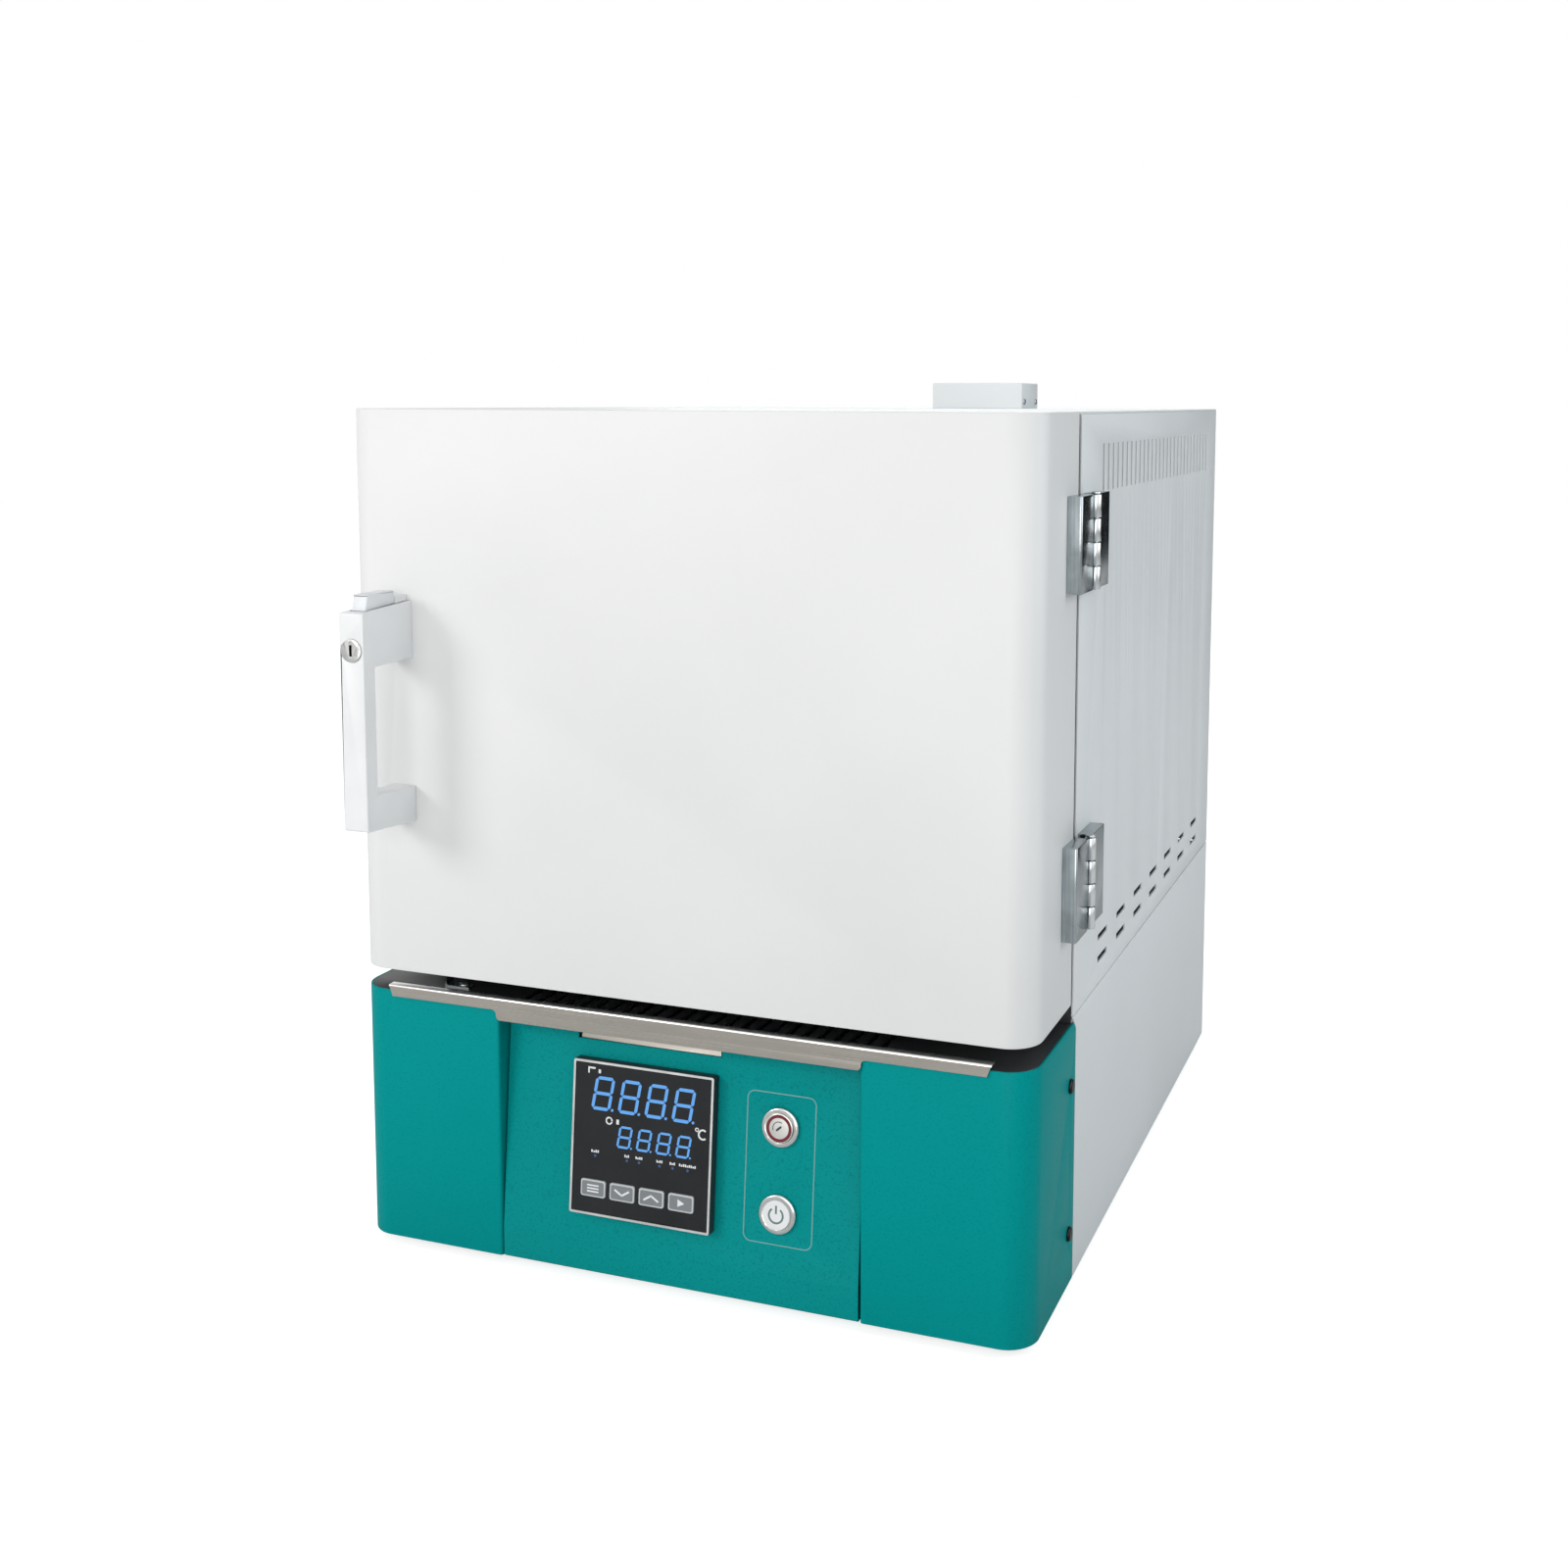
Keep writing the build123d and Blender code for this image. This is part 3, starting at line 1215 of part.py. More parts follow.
def cable_gland():
    """Empty cable gland in the rear wall: hexagon, dome and thread."""
    thread = along_y(GLAND_X, GLAND_Z, GLAND_R, REAR_INNER - GLAND_IN, CABINET_D)
    dome = along_y(GLAND_X, GLAND_Z, GLAND_DOME_R, CABINET_D, CABINET_D + GLAND_OUT)
    dome = fillet(dome.edges().group_by(Axis.Y)[-1], GLAND_DOME_FILLET)
    plane = Plane(origin=(GLAND_X, CABINET_D, GLAND_Z), x_dir=(1, 0, 0), z_dir=(0, 1, 0))
    hexagon = extrude(plane * RegularPolygon(GLAND_HEX_R, 6), GLAND_HEX_T)
    bore = along_y(GLAND_X, GLAND_Z, GLAND_BORE_R, REAR_INNER - 2 * GLAND_IN, CABINET_D + 2 * GLAND_OUT)
    return thread + dome + hexagon - bore


# The whole furnace


def add(name, solids):
    """Keep a piece, or a group of equal pieces, under its name."""
    PIECES[name] = solids if isinstance(solids, list) else [solids]


def build_base():
    """Pieces of the base cabinet."""
    add("base_pan", base_pan())
    add("rubber_feet", rubber_feet())
    add("base_right_panel", base_side_panel())
    add("base_left_panel", mirrored(base_side_panel()))
    add("base_rear_panel", base_rear_panel())
    add("fascia_right_wing", fascia_wing())
    add("fascia_left_wing", mirrored(fascia_wing()))
    add("fascia_screws", fascia_screws())
    add("control_panel", control_panel())
    add("stainless_trim", stainless_trim())
    add("base_deck", base_deck())
    add("relay_heat_sink", relay_heat_sink())
    add("solid_state_relay", solid_state_relay())
    add("terminal_block", terminal_block())
    add("cable_gland", cable_gland())


def build_controls():
    """Controller and push-buttons."""
    add("controller_case", controller_case())
    add("controller_window", controller_window())
    add("controller_backplate", controller_backplate())
    for name, x, v in key_places():
        add(name, controller_key(x, v))
    add("button_housings", [button_housing(v) for v in BUTTON_V])
    add("button_nuts", [button_nut(v) for v in BUTTON_V])
    add("power_button_cap", button_cap(BUTTON_V[0]))
    add("start_button_cap", button_cap(BUTTON_V[1]))


def build_casing():
    """Casing, chamber and flue."""
    add("casing_floor", casing_floor())
    add("casing_right_panel", casing_side_panel())
    add("casing_left_panel", mirrored(casing_side_panel()))
    add("casing_roof", casing_roof())
    add("casing_rear_panel", casing_rear_panel())
    add("casing_front_frame", casing_front_frame())
    add("latch_keeper", latch_keeper())
    add("inner_jacket", inner_jacket())
    add("insulation_sleeve", insulation_sleeve())
    add("insulation_rear", insulation_rear())
    add("muffle_floor", muffle_floor())
    add("muffle_roof", Pos(0, 0, CHAMBER_H + MUFFLE_WALL) * muffle_floor())
    add("muffle_right_wall", muffle_side_wall())
    add("muffle_left_wall", mirrored(muffle_side_wall()))
    add("muffle_rear_wall", muffle_rear_wall())
    add("heating_elements", heating_elements())
    add("hearth_plate", hearth_plate())
    add("thermocouple_sheath", thermocouple_sheath())
    add("thermocouple_head", thermocouple_head())
    add("flue_duct", flue_duct())
    add("chimney_cover", chimney_cover())
    add("hinge_casing_leaves", hinge_leaves(HINGE_CASING_Y, 0))
    add("hinge_pins", hinge_pins())


def build_door():
    """Door, handle and latch."""
    add("door_shell", door_shell())
    add("door_inner_plate", door_inner_plate())
    add("door_insulation", door_insulation())
    add("door_plug", door_plug())
    add("door_seal", door_seal())
    add("hinge_door_leaves", hinge_leaves(HINGE_DOOR_Y, 1))
    add("handle_body", handle_body())
    add("thumb_button", thumb_button())
    add("latch_bar", latch_bar())
    add("key_cylinder", key_cylinder())


def bottom_centre():
    """Middle of the furnace's plan, from its outermost pieces."""
    right = HINGE_X + KNUCKLE_R
    front = -HANDLE_REACH - LOCK_PROUD
    rear = CABINET_D + GLAND_OUT
    left = -HALF_W - SCREW_HEAD_H
    return (left + right) / 2, (front + rear) / 2


def main():
    """Build every piece, move it to the bottom centre and write its file."""
    build_base()
    build_controls()
    build_casing()
    build_door()
    centre_x, centre_y = bottom_centre()
    home = Pos(-centre_x, -centre_y, 0)
    for name, solids in PIECES.items():
        placed = [home * solid for solid in solids]
        shape = placed[0] if len(placed) == 1 else Compound(children=placed)
        export_step(shape, f"parts/{name}.step")


main()
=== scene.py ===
"""Looks of a bench-top muffle furnace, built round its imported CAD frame.

Lengths are millimetres from the cabinet's datum, the middle of the door's face at table height: x to the
right, y to the rear, z up. from_cabinet() turns them into metres in the frame's own place, and on_panel()
does the same for the sloping control panel, whose lengths run across it, up it and out of it.
"""

import json
import math

import bmesh
import bpy
import numpy as np
from mathutils import Matrix, Vector


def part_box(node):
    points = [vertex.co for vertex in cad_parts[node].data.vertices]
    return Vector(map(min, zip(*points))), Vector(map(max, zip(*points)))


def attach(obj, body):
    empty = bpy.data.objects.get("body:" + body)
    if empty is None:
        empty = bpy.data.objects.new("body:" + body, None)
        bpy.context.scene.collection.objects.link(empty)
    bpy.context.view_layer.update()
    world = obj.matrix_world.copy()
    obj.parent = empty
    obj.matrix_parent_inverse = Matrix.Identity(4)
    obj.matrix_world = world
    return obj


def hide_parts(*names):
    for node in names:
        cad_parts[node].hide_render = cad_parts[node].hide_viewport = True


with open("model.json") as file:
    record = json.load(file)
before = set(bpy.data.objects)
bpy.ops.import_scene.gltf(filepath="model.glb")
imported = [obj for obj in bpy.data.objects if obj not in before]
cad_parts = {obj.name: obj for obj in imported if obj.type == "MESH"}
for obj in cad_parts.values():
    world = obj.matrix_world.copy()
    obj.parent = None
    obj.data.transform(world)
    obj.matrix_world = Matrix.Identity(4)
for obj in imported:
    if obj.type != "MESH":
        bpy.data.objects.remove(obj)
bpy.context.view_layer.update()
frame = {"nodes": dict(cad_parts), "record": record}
NODES = frame["nodes"]

MM = 0.001
TAU = 2 * math.pi
DATUM = np.array((5.1, 264.5, 0.0))

# The control panel, its controller and its push-buttons: across and up the panel, and out of it
PANEL_FOOT = 26.0
PANEL_SLOPE = math.radians(5.5)
CONTROLLER_X = -22.0
CONTROLLER_V = 67.3
CONTROLLER_SIZE = 96.0
GLASS_OUT = 6.5
KEY_OUT = 7.4
KEY_V = 36.3
KEY_X = {"set_key": -53.5, "down_key": -33.5, "up_key": -13.5, "run_key": 6.5}
BUTTON_X = 67.5
POWER_V = 37.2
START_V = 89.4
CAP_OUT = 3.4
BEZEL_OUT = 7.0
PRINT_T = 0.05
OUTLINE_SIZE = (45.0, 91.5)
OUTLINE_FOOT = 18.0
OUTLINE_CORNER = 5.0
OUTLINE_LINE = 0.7
RING_RADII = (8.2, 6.3)
FIELD_SIZE = (15.0, 8.5)
FIELD_CORNER = 1.2

# The display, in fractions of the controller's size from its top left corner, with sizes in millimetres.
# A row of figures: the first one's place, the step to the next, and a figure's width, height and line.
FIGURE_ROWS = (
    ((0.145, 0.306), 0.191, (11.2, 19.0, 2.0)),
    ((0.332, 0.532), 0.1387, (7.8, 12.3, 1.4)),
)
FIGURES_IN_ROW = 4
FIGURE_LEAN = 0.155
STATUS_LABELS = ((0.176, 5.6), (0.404, 3.4), (0.491, 5.0), (0.636, 4.4), (0.728, 4.0), (0.833, 11.5))
LABEL_ROW = 0.584
LAMP_ROW = 0.613
LAMP_RADIUS = 0.85
LABEL_PITCH = 1.25
LABEL_TALL = 1.6
LABEL_LOW = 1.1
LABEL_INK_SHARE = 0.72

# Edges of the cabinet where painted highlights and a painted gap shade begin, in the frame's own place
TRIM_TOP = 174.5
TRIM_BEND = 1.4
HINGE_FACE = 234.0 - DATUM[0]
DOOR_GAP_SHADE_Y = 84.8 - DATUM[1]

# The copies with rounded edges
SOFT_SEGMENTS = 2
SHARP_FROM = math.radians(28)
FLAT_WITHIN = math.radians(0.5)

# The heater wires: eight helices, four up each side of the chamber
HEATER_TURNS = 62
HEATER_WIRE = 0.75
HEATER_COIL = 3.2
HEATER_X = 106.0
HEATER_Y = (142.0, 424.0)
HEATER_Z = (320.5, 348.5, 376.5, 404.5)
HEATER_STEPS_A_TURN = 12
HEATER_AROUND = 6

# The rope that seals the door
ROPE_CORNER = 12.0
ROPE_STATIONS = 420
ROPE_AROUND = 20
STRAND_PITCH = 3.0
STRANDS_AROUND = 6.0

# Screws, each with its radius and height, and the clip on the deck
DECK_TOP = 170.5
CHIMNEY_SCREW = (2.6, 1.2)
CHIMNEY_SCREW_FROM_END = 7.0
CHIMNEY_SCREW_UP = 5.5
REAR_SCREW = (3.2, 1.5)
REAR_SCREW_FROM_SIDE = 12.0
REAR_SCREW_FROM_EDGE = 9.0
CLIP_SCREW = (3.4, 1.8)
CLIP_SCREW_PLACE = (-159.5, 22.0, DECK_TOP + 1.0)
CLIP_X = -171.5
CLIP_ENDS = (18.0, 26.0)
CLIP_PROFILE = (
    (0.0, 0.0), (17.5, 0.0), (17.5, 1.0), (1.9, 1.0), (1.2, 1.7), (1.2, 8.0), (0.2, 8.0), (0.0, 7.0),
)
SCREW_AROUND = 24
SCREW_DOME = ((1.0, 0.0), (1.0, 0.35), (0.92, 0.65), (0.75, 0.88), (0.5, 0.98), (0.02, 1.0))
# The dark bars on a screw's top: painted shade that stands for its cross recess
RECESS_SHADE_REACH = 0.5
RECESS_SHADE_HALF_WIDTH = 0.11
RECESS_SHADE_LEVEL = 1.01

# The stage, in metres from the frame's middle. A light has its name, place, size, power and colour.
ROOM_LIGHT = 0.40
ROOM_COLOUR = (0.94, 0.98, 1.0)
LIGHT_AIM = (0.0, -0.05, 0.3)
LIGHTS = (
    ("key_light", (-2.4, -3.05, 1.9), 1.35, 48.0, (1.0, 0.985, 0.96)),
    ("front_light", (0.4, -5.0, 0.7), 3.6, 114.0, (1.0, 0.99, 0.975)),
    ("right_fill", (1.5, -0.1, 0.95), 0.8, 5.6, (0.90, 0.97, 1.0)),
    ("rear_fill", (-0.8, 2.6, 2.0), 1.6, 22.0, (1.0, 1.0, 1.0)),
)
FLOOR_COLOUR = (0.75, 0.75, 0.75)
FLOOR_GLOW = 0.72
FLOOR_RADIUS = 9.0
FLOOR_CORNERS = 96
FLOOR_UNDER_FEET = 0.0004
CARD_PLACE = (1.4, 2.7)
CARD_WIDTH = 2.6
CARD_HEIGHT = 2.4
CAMERA_LENS = 41.137
CAMERA_SENSOR = 36.0
CAMERA_SHIFT = (-0.0625, -0.125)
CAMERA_PLACE = (0.4701, -1.2053, 0.5467)
CAMERA_TURN = (19.961, 5.956, 0.208)


# Places

def from_cabinet(points):
    """Takes the datum's place from each point and turns millimetres into metres."""
    return (np.asarray(points, float) - DATUM) * MM


def on_panel(points):
    """Turns across, up and out by the panel's slope: up leans to the rear, and out is square to the sheet."""
    points = np.asarray(points, float)
    across, up, out = points[..., 0], points[..., 1], points[..., 2]
    cos, sin = math.cos(PANEL_SLOPE), math.sin(PANEL_SLOPE)
    return from_cabinet(np.stack((across, up * sin - out * cos, PANEL_FOOT + up * cos + out * sin), axis=-1))


# Shader maths

class Wire:
    """An output socket of a node, so that shader maths reads as a Python expression."""

    def __init__(self, nodes, socket):
        self.nodes = nodes
        self.socket = socket

    def maths(self, operation, first, second):
        return self.nodes.node("ShaderNodeMath", {"operation": operation}, {0: first, 1: second})

    def __add__(self, other):
        return self.maths("ADD", self, other)

    def __sub__(self, other):
        return self.maths("SUBTRACT", self, other)

    def __mul__(self, other):
        return self.maths("MULTIPLY", self, other)

    def larger(self, other):
        return self.maths("MAXIMUM", self, other)


class Nodes:
    """The node tree of a world or a material."""

    def __init__(self, owner):
        owner.use_nodes = True
        self.tree = owner.node_tree

    def node(self, kind, settings, sockets, output=0):
        """Adds a node: its settings first, a ramp's stops among them, then each socket's value or wire."""
        made = self.tree.nodes.new(kind)
        for setting, value in settings.items():
            if setting == "stops":
                self.set_stops(made.color_ramp, value)
            else:
                setattr(made, setting, value)
        for socket, value in sockets.items():
            if isinstance(value, Wire):
                self.tree.links.new(value.socket, made.inputs[socket])
            else:
                made.inputs[socket].default_value = value
        return Wire(self, made.outputs[output])

    def set_stops(self, ramp, stops):
        """Gives a ramp its (position, colour) stops."""
        while len(ramp.elements) < len(stops):
            ramp.elements.new(1.0)
        for element, (position, colour) in zip(ramp.elements, stops):
            element.position = position
            element.color = (*colour, 1.0)

    def ray(self, kind):
        """One while the ray that sees the surface is of that kind, zero otherwise."""
        return self.node("ShaderNodeLightPath", {}, {}, f"Is {kind} Ray")

    def end(self, output, wire):
        """Joins a shader to the tree's output."""
        self.tree.links.new(wire.socket, self.tree.nodes[output].inputs["Surface"])


class Finish(Nodes):
    """One material: a Principled shader with its fixed values set on it and its varying values as wires."""

    def __init__(self, name, **fixed):
        self.material = bpy.data.materials.new(name)
        super().__init__(self.material)
        self.shader = self.tree.nodes["Principled BSDF"]
        self.place = self.node("ShaderNodeTexCoord", {}, {}, "Object")
        for socket, value in fixed.items():
            self.shader.inputs[socket.replace("_", " ")].default_value = value

    def feed(self, socket, wire):
        """Joins a wire to one of the shader's sockets."""
        self.tree.links.new(wire.socket, self.shader.inputs[socket])

    def axis(self, name):
        """The place along one axis, in metres."""
        return self.node("ShaderNodeSeparateXYZ", {}, {0: self.place}, name)

    def stretched(self, scale):
        """The place with each axis scaled, for a pattern that is longer one way."""
        return self.node("ShaderNodeMapping", {}, {"Vector": self.place, "Scale": scale}, "Vector")

    def noise(self, scale, detail=2.0, place=None):
        """Cloudy noise from 0 to 1, its scale in cells per metre."""
        sockets = {"Vector": place or self.place, "Scale": scale, "Detail": detail}
        return self.node("ShaderNodeTexNoise", {}, sockets)

    def cells(self, scale, feature="F1", output="Distance"):
        """Voronoi cells, as spangle, grit and cracks have."""
        sockets = {"Vector": self.place, "Scale": scale}
        return self.node("ShaderNodeTexVoronoi", {"feature": feature}, sockets, output)

    def shade(self, factor, *stops):
        """A colour that runs through the stops as the factor goes from 0 to 1."""
        return self.node("ShaderNodeValToRGB", {"stops": stops}, {"Fac": factor}, "Color")

    def blend(self, factor, first, second):
        """A mix of two colours, each a wire or a plain colour."""
        first, second = (part if isinstance(part, Wire) else (*part, 1.0) for part in (first, second))
        return self.node("ShaderNodeMix", {"data_type": "RGBA"}, {0: factor, 6: first, 7: second}, 2)

    def span(self, factor, low, high):
        """A number that runs from low to high as the factor goes from 0 to 1."""
        return factor * (high - low) + low

    def rise(self, value, start, end):
        """A factor that goes from 0 to 1 as the value goes from start to end, and stays there."""
        sockets = {"Value": value, "From Min": start, "From Max": end}
        return self.node("ShaderNodeMapRange", {"interpolation_type": "SMOOTHSTEP"}, sockets)

    def bump(self, height, depth, strength=1.0, under=None):
        """Joins a height from 0 to 1 as a bump of that depth in millimetres."""
        sockets = {"Height": height, "Distance": depth * MM, "Strength": strength}
        if under:
            sockets["Normal"] = under
        return self.node("ShaderNodeBump", {}, sockets, "Normal")


def tones(colour, amount):
    """A darker and a lighter tone of a colour, as two ramp stops."""
    colour = np.array(colour)
    return (0.3, tuple(colour * (1 - amount))), (0.7, tuple(np.minimum(colour * (1 + amount), 1.0)))


def powder_paint(name, colour, roughness=0.42, specular=0.4, speckle=0.0, gap_shade_behind=None):
    """Baked powder paint: orange-peel bumps a millimetre across, slow changes of tone and gloss, and behind a
    depth, where it is given, painted shade for the gap round the door: a near black strip on the rear edge."""
    peel = 0.03
    finish = Finish(name, Specular_IOR_Level=specular)
    cloud = finish.noise(7.0, 3.0)
    fine = finish.noise(1100.0)
    paint = finish.shade(cloud, *tones(colour, 0.02))
    if speckle:
        dark = tuple(np.array(colour) * (1 - speckle))
        paint = finish.blend(finish.rise(finish.noise(700.0), 0.5, 0.7), paint, dark)
    # Painted shade: behind the depth the paint turns near black, for the shade in the gap round the door
    if gap_shade_behind:
        strip = finish.rise(finish.axis("Y"), gap_shade_behind * MM, (gap_shade_behind + 0.3) * MM)
        paint = finish.blend(strip, paint, (0.012, 0.013, 0.018))
    finish.feed("Base Color", paint)
    finish.feed("Roughness", finish.span(cloud, roughness - 0.06, roughness + 0.06))
    finish.feed("Normal", finish.bump(fine, peel, 0.6, finish.bump(finish.noise(320.0, 1.0), peel * 2, 0.4)))
    return finish.material


def brushed_steel(name, colour, along, roughness=0.24, highlight_from=None):
    """Sheet steel with brush lines of stretched noise, and above a height a painted highlight on the bend."""
    finish = Finish(name, Metallic=1.0)
    lines = finish.noise(1.0, 4.0, finish.stretched(along))
    smears = finish.noise(22.0, 4.0)
    steel = finish.blend(smears, finish.shade(lines, *tones(colour, 0.06)), tuple(np.array(colour) * 0.8))
    # Painted highlight: above the height the bend turns near white
    if highlight_from:
        bend = finish.rise(finish.axis("Z"), highlight_from * MM, (highlight_from + 0.8) * MM)
        steel = finish.blend(bend, steel, (0.95, 0.94, 0.93))
    finish.feed("Base Color", steel)
    finish.feed("Roughness", finish.span(lines, roughness - 0.07, roughness + 0.1))
    finish.feed("Normal", finish.bump(lines, 0.004))
    return finish.material


def zinc_with_knuckle_highlight(name, colour, knuckle_highlight, knuckle_highlight_from, roughness):
    """Zinc plate, drawn upwards in faint lines, with a painted highlight: paler where the knuckles stand out.
    """
    finish = Finish(name, Metallic=1.0)
    lines = finish.noise(1.0, 3.0, finish.stretched((900.0, 900.0, 14.0)))
    cloud = finish.noise(90.0, 3.0)
    plate = finish.shade(lines * 0.5 + cloud * 0.5, *tones(colour, 0.25))
    # Painted highlight: past a place along x the plate turns pale on the knuckles
    bright = finish.rise(finish.axis("X"), knuckle_highlight_from * MM, (knuckle_highlight_from + 1.5) * MM)
    finish.feed("Base Color", finish.blend(bright, plate, knuckle_highlight))
    finish.feed("Roughness", finish.span(cloud, roughness - 0.08, roughness + 0.08))
    finish.feed("Normal", finish.bump(lines, 0.006))
    return finish.material


def plated_metal(name, colour, roughness, tone=0.08):
    """Plated or turned metal: a mottle in tone and gloss, and hair-fine scratches."""
    finish = Finish(name, Metallic=1.0)
    cloud = finish.noise(60.0, 4.0)
    scratches = finish.noise(1.0, 2.0, finish.stretched((2400.0, 160.0, 160.0)))
    finish.feed("Base Color", finish.shade(cloud, *tones(colour, tone)))
    finish.feed("Roughness", finish.span(cloud, roughness - 0.08, roughness + 0.08))
    finish.feed("Normal", finish.bump(scratches, 0.003))
    return finish.material


def spangled_zinc(name, colour):
    """Hot-dip galvanised sheet: flat crystals a few millimetres across, each with its own tone."""
    finish = Finish(name, Metallic=0.9)
    crystals = finish.node("ShaderNodeRGBToBW", {}, {0: finish.cells(160.0, output="Color")})
    finish.feed("Base Color", finish.shade(crystals, *tones(colour, 0.14)))
    finish.feed("Roughness", finish.span(crystals, 0.32, 0.5))
    finish.feed("Normal", finish.bump(finish.noise(400.0, 2.0), 0.01))
    return finish.material


def moulded_plastic(name, colour, roughness, grain=900.0, depth=0.02):
    """Moulded plastic: a fine spark-eroded grain and a faint change of tone."""
    finish = Finish(name)
    cloud = finish.noise(25.0, 2.0)
    finish.feed("Base Color", finish.shade(cloud, *tones(colour, 0.03)))
    finish.feed("Roughness", finish.span(cloud, roughness - 0.05, roughness + 0.05))
    finish.feed("Normal", finish.bump(finish.cells(grain), depth))
    return finish.material


def dark_glass(name):
    """The display's window: smooth black plastic with the faintest smear of finger grease."""
    finish = Finish(name, Coat_Roughness=0.04, Specular_IOR_Level=0.5)
    smear = finish.noise(30.0, 5.0)
    finish.feed("Base Color", finish.shade(smear, (0.3, (0.004, 0.005, 0.007)), (0.8, (0.010, 0.011, 0.014))))
    finish.feed("Roughness", finish.span(smear, 0.10, 0.2))
    return finish.material


def fired_ceramic(name, colour, fibre=(260.0, 90.0, 420.0), crack=9.0, depth=0.25):
    """Vacuum-formed ceramic fibre: short fibres, pressed lumps and a few hair cracks."""
    finish = Finish(name, Roughness=0.9, Specular_IOR_Level=0.2)
    fibres = finish.noise(1.0, 5.0, finish.stretched(fibre))
    lumps = finish.noise(45.0, 3.0)
    edge = finish.cells(crack, "DISTANCE_TO_EDGE")
    whole = finish.shade(edge, (0.0, (0.3, 0.3, 0.3)), (0.012, (1, 1, 1)))
    tint = finish.shade(lumps, *tones(colour, 0.05))
    finish.feed("Base Color", finish.blend(whole, tuple(np.array(colour) * 0.72), tint))
    finish.feed("Normal", finish.bump(fibres, depth, 0.7, finish.bump(lumps, depth * 2, 0.5)))
    return finish.material


def woven_rope(name, colour):
    """Braided glass-fibre rope: two sets of strands that cross, from the piece's own along and around."""
    finish = Finish(name, Roughness=0.85, Sheen_Weight=0.2)
    uv = finish.node("ShaderNodeUVMap", {}, {}, "UV")
    along = finish.node("ShaderNodeSeparateXYZ", {}, {0: uv}, "X")
    around = finish.node("ShaderNodeSeparateXYZ", {}, {0: uv}, "Y")
    left, right = (
        finish.node("ShaderNodeMath", {"operation": "SINE"}, {0: turns * TAU})
        for turns in (along + around, along - around)
    )
    strands = left.larger(right) * 0.5 + 0.5
    # Painted shade: the grooves between strands are darker, down to 0.55 of the colour
    finish.feed("Base Color", finish.shade(strands, (0.0, tuple(np.array(colour) * 0.55)), (0.8, colour)))
    finish.feed("Normal", finish.bump(strands, 0.6))
    return finish.material


def lamp_blue(name, colour, strength):
    """A lit display segment: blue light, a little stronger in some places."""
    finish = Finish(name, Base_Color=(0.0, 0.02, 0.05, 1.0), Emission_Strength=strength, Roughness=0.4)
    finish.feed("Emission Color", finish.shade(finish.noise(500.0, 1.0), *tones(colour, 0.06)))
    return finish.material


def printed_ink(name, colour):
    """Screen-printed ink: even, with a slightly grainy edge in its gloss."""
    finish = Finish(name)
    grain = finish.noise(1500.0, 2.0)
    finish.feed("Base Color", finish.shade(grain, *tones(colour, 0.05)))
    finish.feed("Roughness", finish.span(grain, 0.45, 0.65))
    return finish.material


